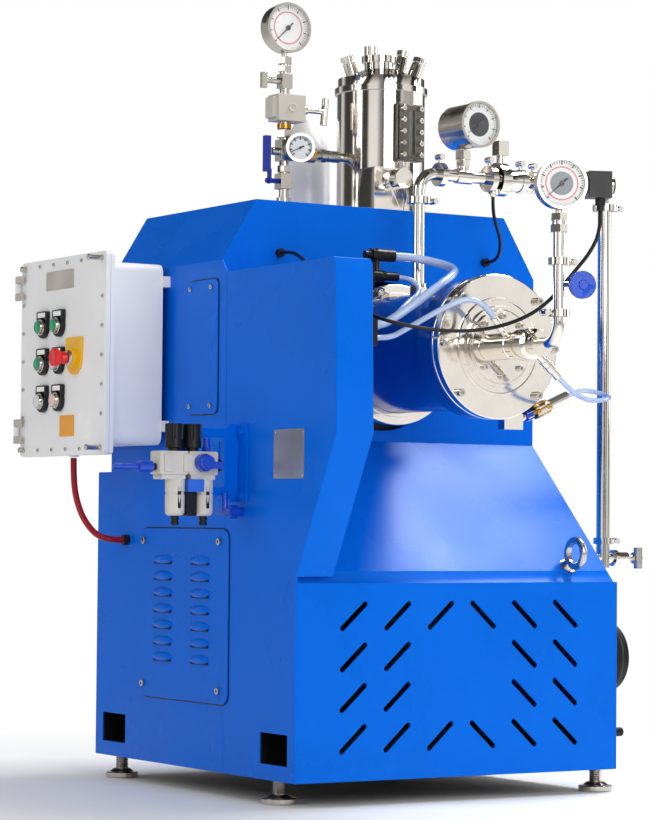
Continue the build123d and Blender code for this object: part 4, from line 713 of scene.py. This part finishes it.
# Control box. A grey enamelled case on four lugs at the left side, with a hinged door that carries three
# rows of lit buttons, a red stop button on a yellow plate, small screws, four studs and blank plates.
# The case is light grey enamel with a visible peel, the lenses are glossy acrylic and the plates moulded ABS.
box_enamel = lacquer("grey_box_enamel", "EEEEEE", 0.36, 1.6, 0.35, 0.03)
green_lens = sheath("green_button_lens", "1F9B6B", 0.2, 1.5, 0.02, 0.5, 0.4)
clear_lens = sheath("clear_button_lens", "DCE0DF", 0.18, 1.5, 0.02, 0.5, 0.4)
pink_lens = sheath("pink_button_lens", "EBC3C6", 0.18, 1.5, 0.02, 0.5, 0.4)
red_plastic = sheath("red_button_moulding", "E0161C", 0.28, 1.5, 0.02, 0.5, 0.3)
yellow_plastic = sheath("yellow_plate_moulding", "F5BC0C", 0.33, 1.5, 0.02, 0.4, 0.2)
orange_film = sheath("orange_film", "F0A43A", 0.4, 1.5, 0.01)
carried("enclosure_body", box_enamel, 1.5)
carried("enclosure_door", box_enamel, 1.5)
door_x, stop_y, stop_z = -535, 618, 868
button_rows, button_columns = (938, 861, 784), (758, 686)
backs, tabs, bezels = bmesh.new(), bmesh.new(), bmesh.new()
for z in button_rows:
    for y in button_columns:
        # The plate is open round the button, so it is turned as a ring under its flat face.
        rounded(backs, (door_x, y, z + 21), LEFT, 46, 24, 8.8, 4)
        turned(backs, (door_x, y, z), LEFT, [(0, 11.5), (0, 23), (8, 23), (8.8, 22), (8.8, 11.5)], 48, True)
        rounded(tabs, (door_x - 8.4, y, z + 25), LEFT, 34, 10, 0.6, 1.5)
        turned(bezels, (door_x - 9, y, z), LEFT, [(0, 13.5), (0, 17), (2, 17), (3, 16), (4.5, 16), (9, 14.4),
                                                  (9, 13.5)], 48, True)
finished("button_backs", backs, black_plastic, "door", "button_plates", 0.6)
finished("button_tabs", tabs, dial_print, "door", "button_plates", 0.1)
turned(bezels, (door_x - 14, stop_y, stop_z), LEFT, [(0, 9.6), (0, 16), (2.5, 16), (6, 13.5), (6, 9.6)], 48, True)
for y, long in ((503, 34), (851, 12)):
    for z in (684, 1065):
        turned(bezels, (door_x, y, z), LEFT, [(0, 6), (2, 6), (2, 5), (long - 4, 5), (long - 4, 6), (long - 1, 6),
                                                  (long, 5)], 32)
for z in (1000, 698):
    for low in (z, z + 36):
        turned(bezels, (door_x - 6, 874, low), UP, [(0, 5.8), (0.7, 6.5), (14.3, 6.5), (15, 5.8)], 32)
        rounded(bezels, (door_x - 6.4, 860.5, low + 7.5), LEFT, 27, 15, 6.1, 1)
    turned(bezels, (door_x - 6, 874, z), UP, [(0.2, 3.9), (50.8, 3.9)], 24)
rounded(bezels, (door_x, 689.5, 1032.5), LEFT, 125, 39, 1.2, 3)
finished("door_fittings", bezels, turned_steel, "door", "door_metalwork", 0.3)
spots = [(door_x, y, z) for y in (499, 855) for z in (988, 929, 870, 811, 752)]
spots += [(door_x, y, z) for z in (683, 1066) for y in (782, 719, 656, 593, 530)]
grown("door_screws", spots, screws, {"Radius": 0.004, "Height": 0.0023, "Depth": -0.0015, "Facing": to_left},
      turned_steel, "door", "door_metalwork")
for name, film, slot, y, z, wide, tall in (("orange_film", orange_film, "yellow_plastic", 652, 731, 66, 44),
                                            ("white_film", dial_print, "dial_white", 580, 729, 62, 54)):
    work = bmesh.new()
    rounded(work, (door_x + 0.4, y, z), LEFT, wide, tall, 0.9, 3)
    finished(name, work, film, "door", "door_metalwork", 0.1)
work = bmesh.new()
rounded(work, (door_x, stop_y, stop_z + 24), LEFT, 72, 38, 4.6, 5)
turned(work, (door_x, stop_y, stop_z), LEFT, [(0, 9.6), (0, 34), (4, 34), (5, 33), (5, 20), (5.6, 19), (12, 19),
                                            (14, 16.5), (14, 9.6)], 56, True)
finished("stop_plate", work, yellow_plastic, "door", "estop_plate", 0.5)
work = bmesh.new()
turned(work, (door_x, stop_y, stop_z), LEFT, [(-5, 9), (25, 9), (25, 13.6), (34, 11), (36, 13), (42, 18.4), (43, 19),
                                            (49, 19), (51.4, 17.6), (52, 15), (52, 9), (50.6, 8)], 56)
finished("stop_head", work, red_plastic, "estop", "estop_head", 0.3)
lenses = {"a1": green_lens, "a2": green_lens, "b1": green_lens, "b2": pink_lens, "c1": clear_lens, "c2": pink_lens}
for j, z in enumerate(button_rows):
    for i, y in enumerate(button_columns):
        key = "abc"[j] + str(i + 1)
        work = bmesh.new()
        turned(work, (door_x + 5, y, z), LEFT, [(0, 11), (17, 11), (17, 13), (23.5, 13), (25, 12), (26, 9),
                                                (26, 0.5)], 48)
        finished("lens_" + key, work, lenses[key], "body_button_" + key,
                 "button_" + key, 0.2)


# Air unit. A filter and regulator with two metal bowls hang on a folded bracket beside the wing, with black
# knobs on top, a blue supply tube and a blue valve cap.
# Moulded nylon and a blue polyurethane tube: even colours with a fine grain, the tube glossier.
unit_plastic = sheath("pale_unit_moulding", "CFCBC3", 0.42, 1.5, 0.04)
tube_blue = sheath("blue_air_tube", "0A46C0", 0.3, 1.5, 0.02, 0.5, 0.3)
label_film = sheath("blue_label_film", "2A6BD8", 0.4, 1.5, 0.01)
bowl_x = (-534, -472)
work = bmesh.new()
for x0, x1 in ((-577, -516), (-514, -451)):
    rounded(work, ((x0 + x1) / 2, 215, 649), FORWARD, x1 - x0, 45, 40, 4)
    rounded(work, ((x0 + x1) / 2, 213, 622), FORWARD, x1 - x0 - 10, 9, 36, 2)
rounded(work, (-515, 213, 649), FORWARD, 4, 38, 36, 1)
for x in bowl_x:
    turned(work, (x, 195, 548), UP, [(0, 12), (2, 16), (6, 18.6), (40, 19), (42, 17.6), (45, 17.6), (47, 19),
                                            (70, 19)], 48)
for x in (-559, -517):
    rounded(work, (x, 175, 649), FORWARD, 20, 34, 3, 2)
finished("unit_bodies", work, unit_plastic, "machine", "air_unit", 0.6)
work = bmesh.new()
for x in bowl_x:
    turned(work, (x, 195, 530), UP, [(0, 6), (1, 8), (6, 8), (6.6, 7), (10, 7), (10.6, 8), (18, 8)], 32)
    rounded(work, (x, 177.6, 584), FORWARD, 7, 44, 1.4, 3)
for x in (-537, -497):
    turned(work, (x, 195, 672), UP, [(0, 12), (6, 12)], 40)
rounded(work, (-505, 205, 571), FORWARD, 22, 46, 25, 2)
turned(work, (-577, 195, 641), LEFT, [(0, 7), (8, 7)], 32)
turned(work, (-451, 188, 646), (1, 0, 0), [(0, 12), (10, 12), (14, 9)], 32)
finished("unit_black_parts", work, black_plastic, "machine", "air_unit", 0.4)
work = bmesh.new()
rounded(work, (-499, 205, 606), FORWARD, 34, 24, 32, 2)
finished("unit_label", work, label_film, "machine", "air_unit", 0.4)
carried("air_knob_a", black_plastic, 0.8)
carried("air_knob_b", black_plastic, 0.8)
carried("air_fittings", tube_blue, 0.6)
carried("air_bracket", blue_coat, 0.8)


# Fan cowl and hose block. A pressed cowl covers the cooling fan on the right side, and black moulded
# fittings behind the wing take the hoses and the cables through the cabinet.
carried("fan_cowl", black_paint, 1.5)
carried("hose_manifold", black_plastic, 0.8)
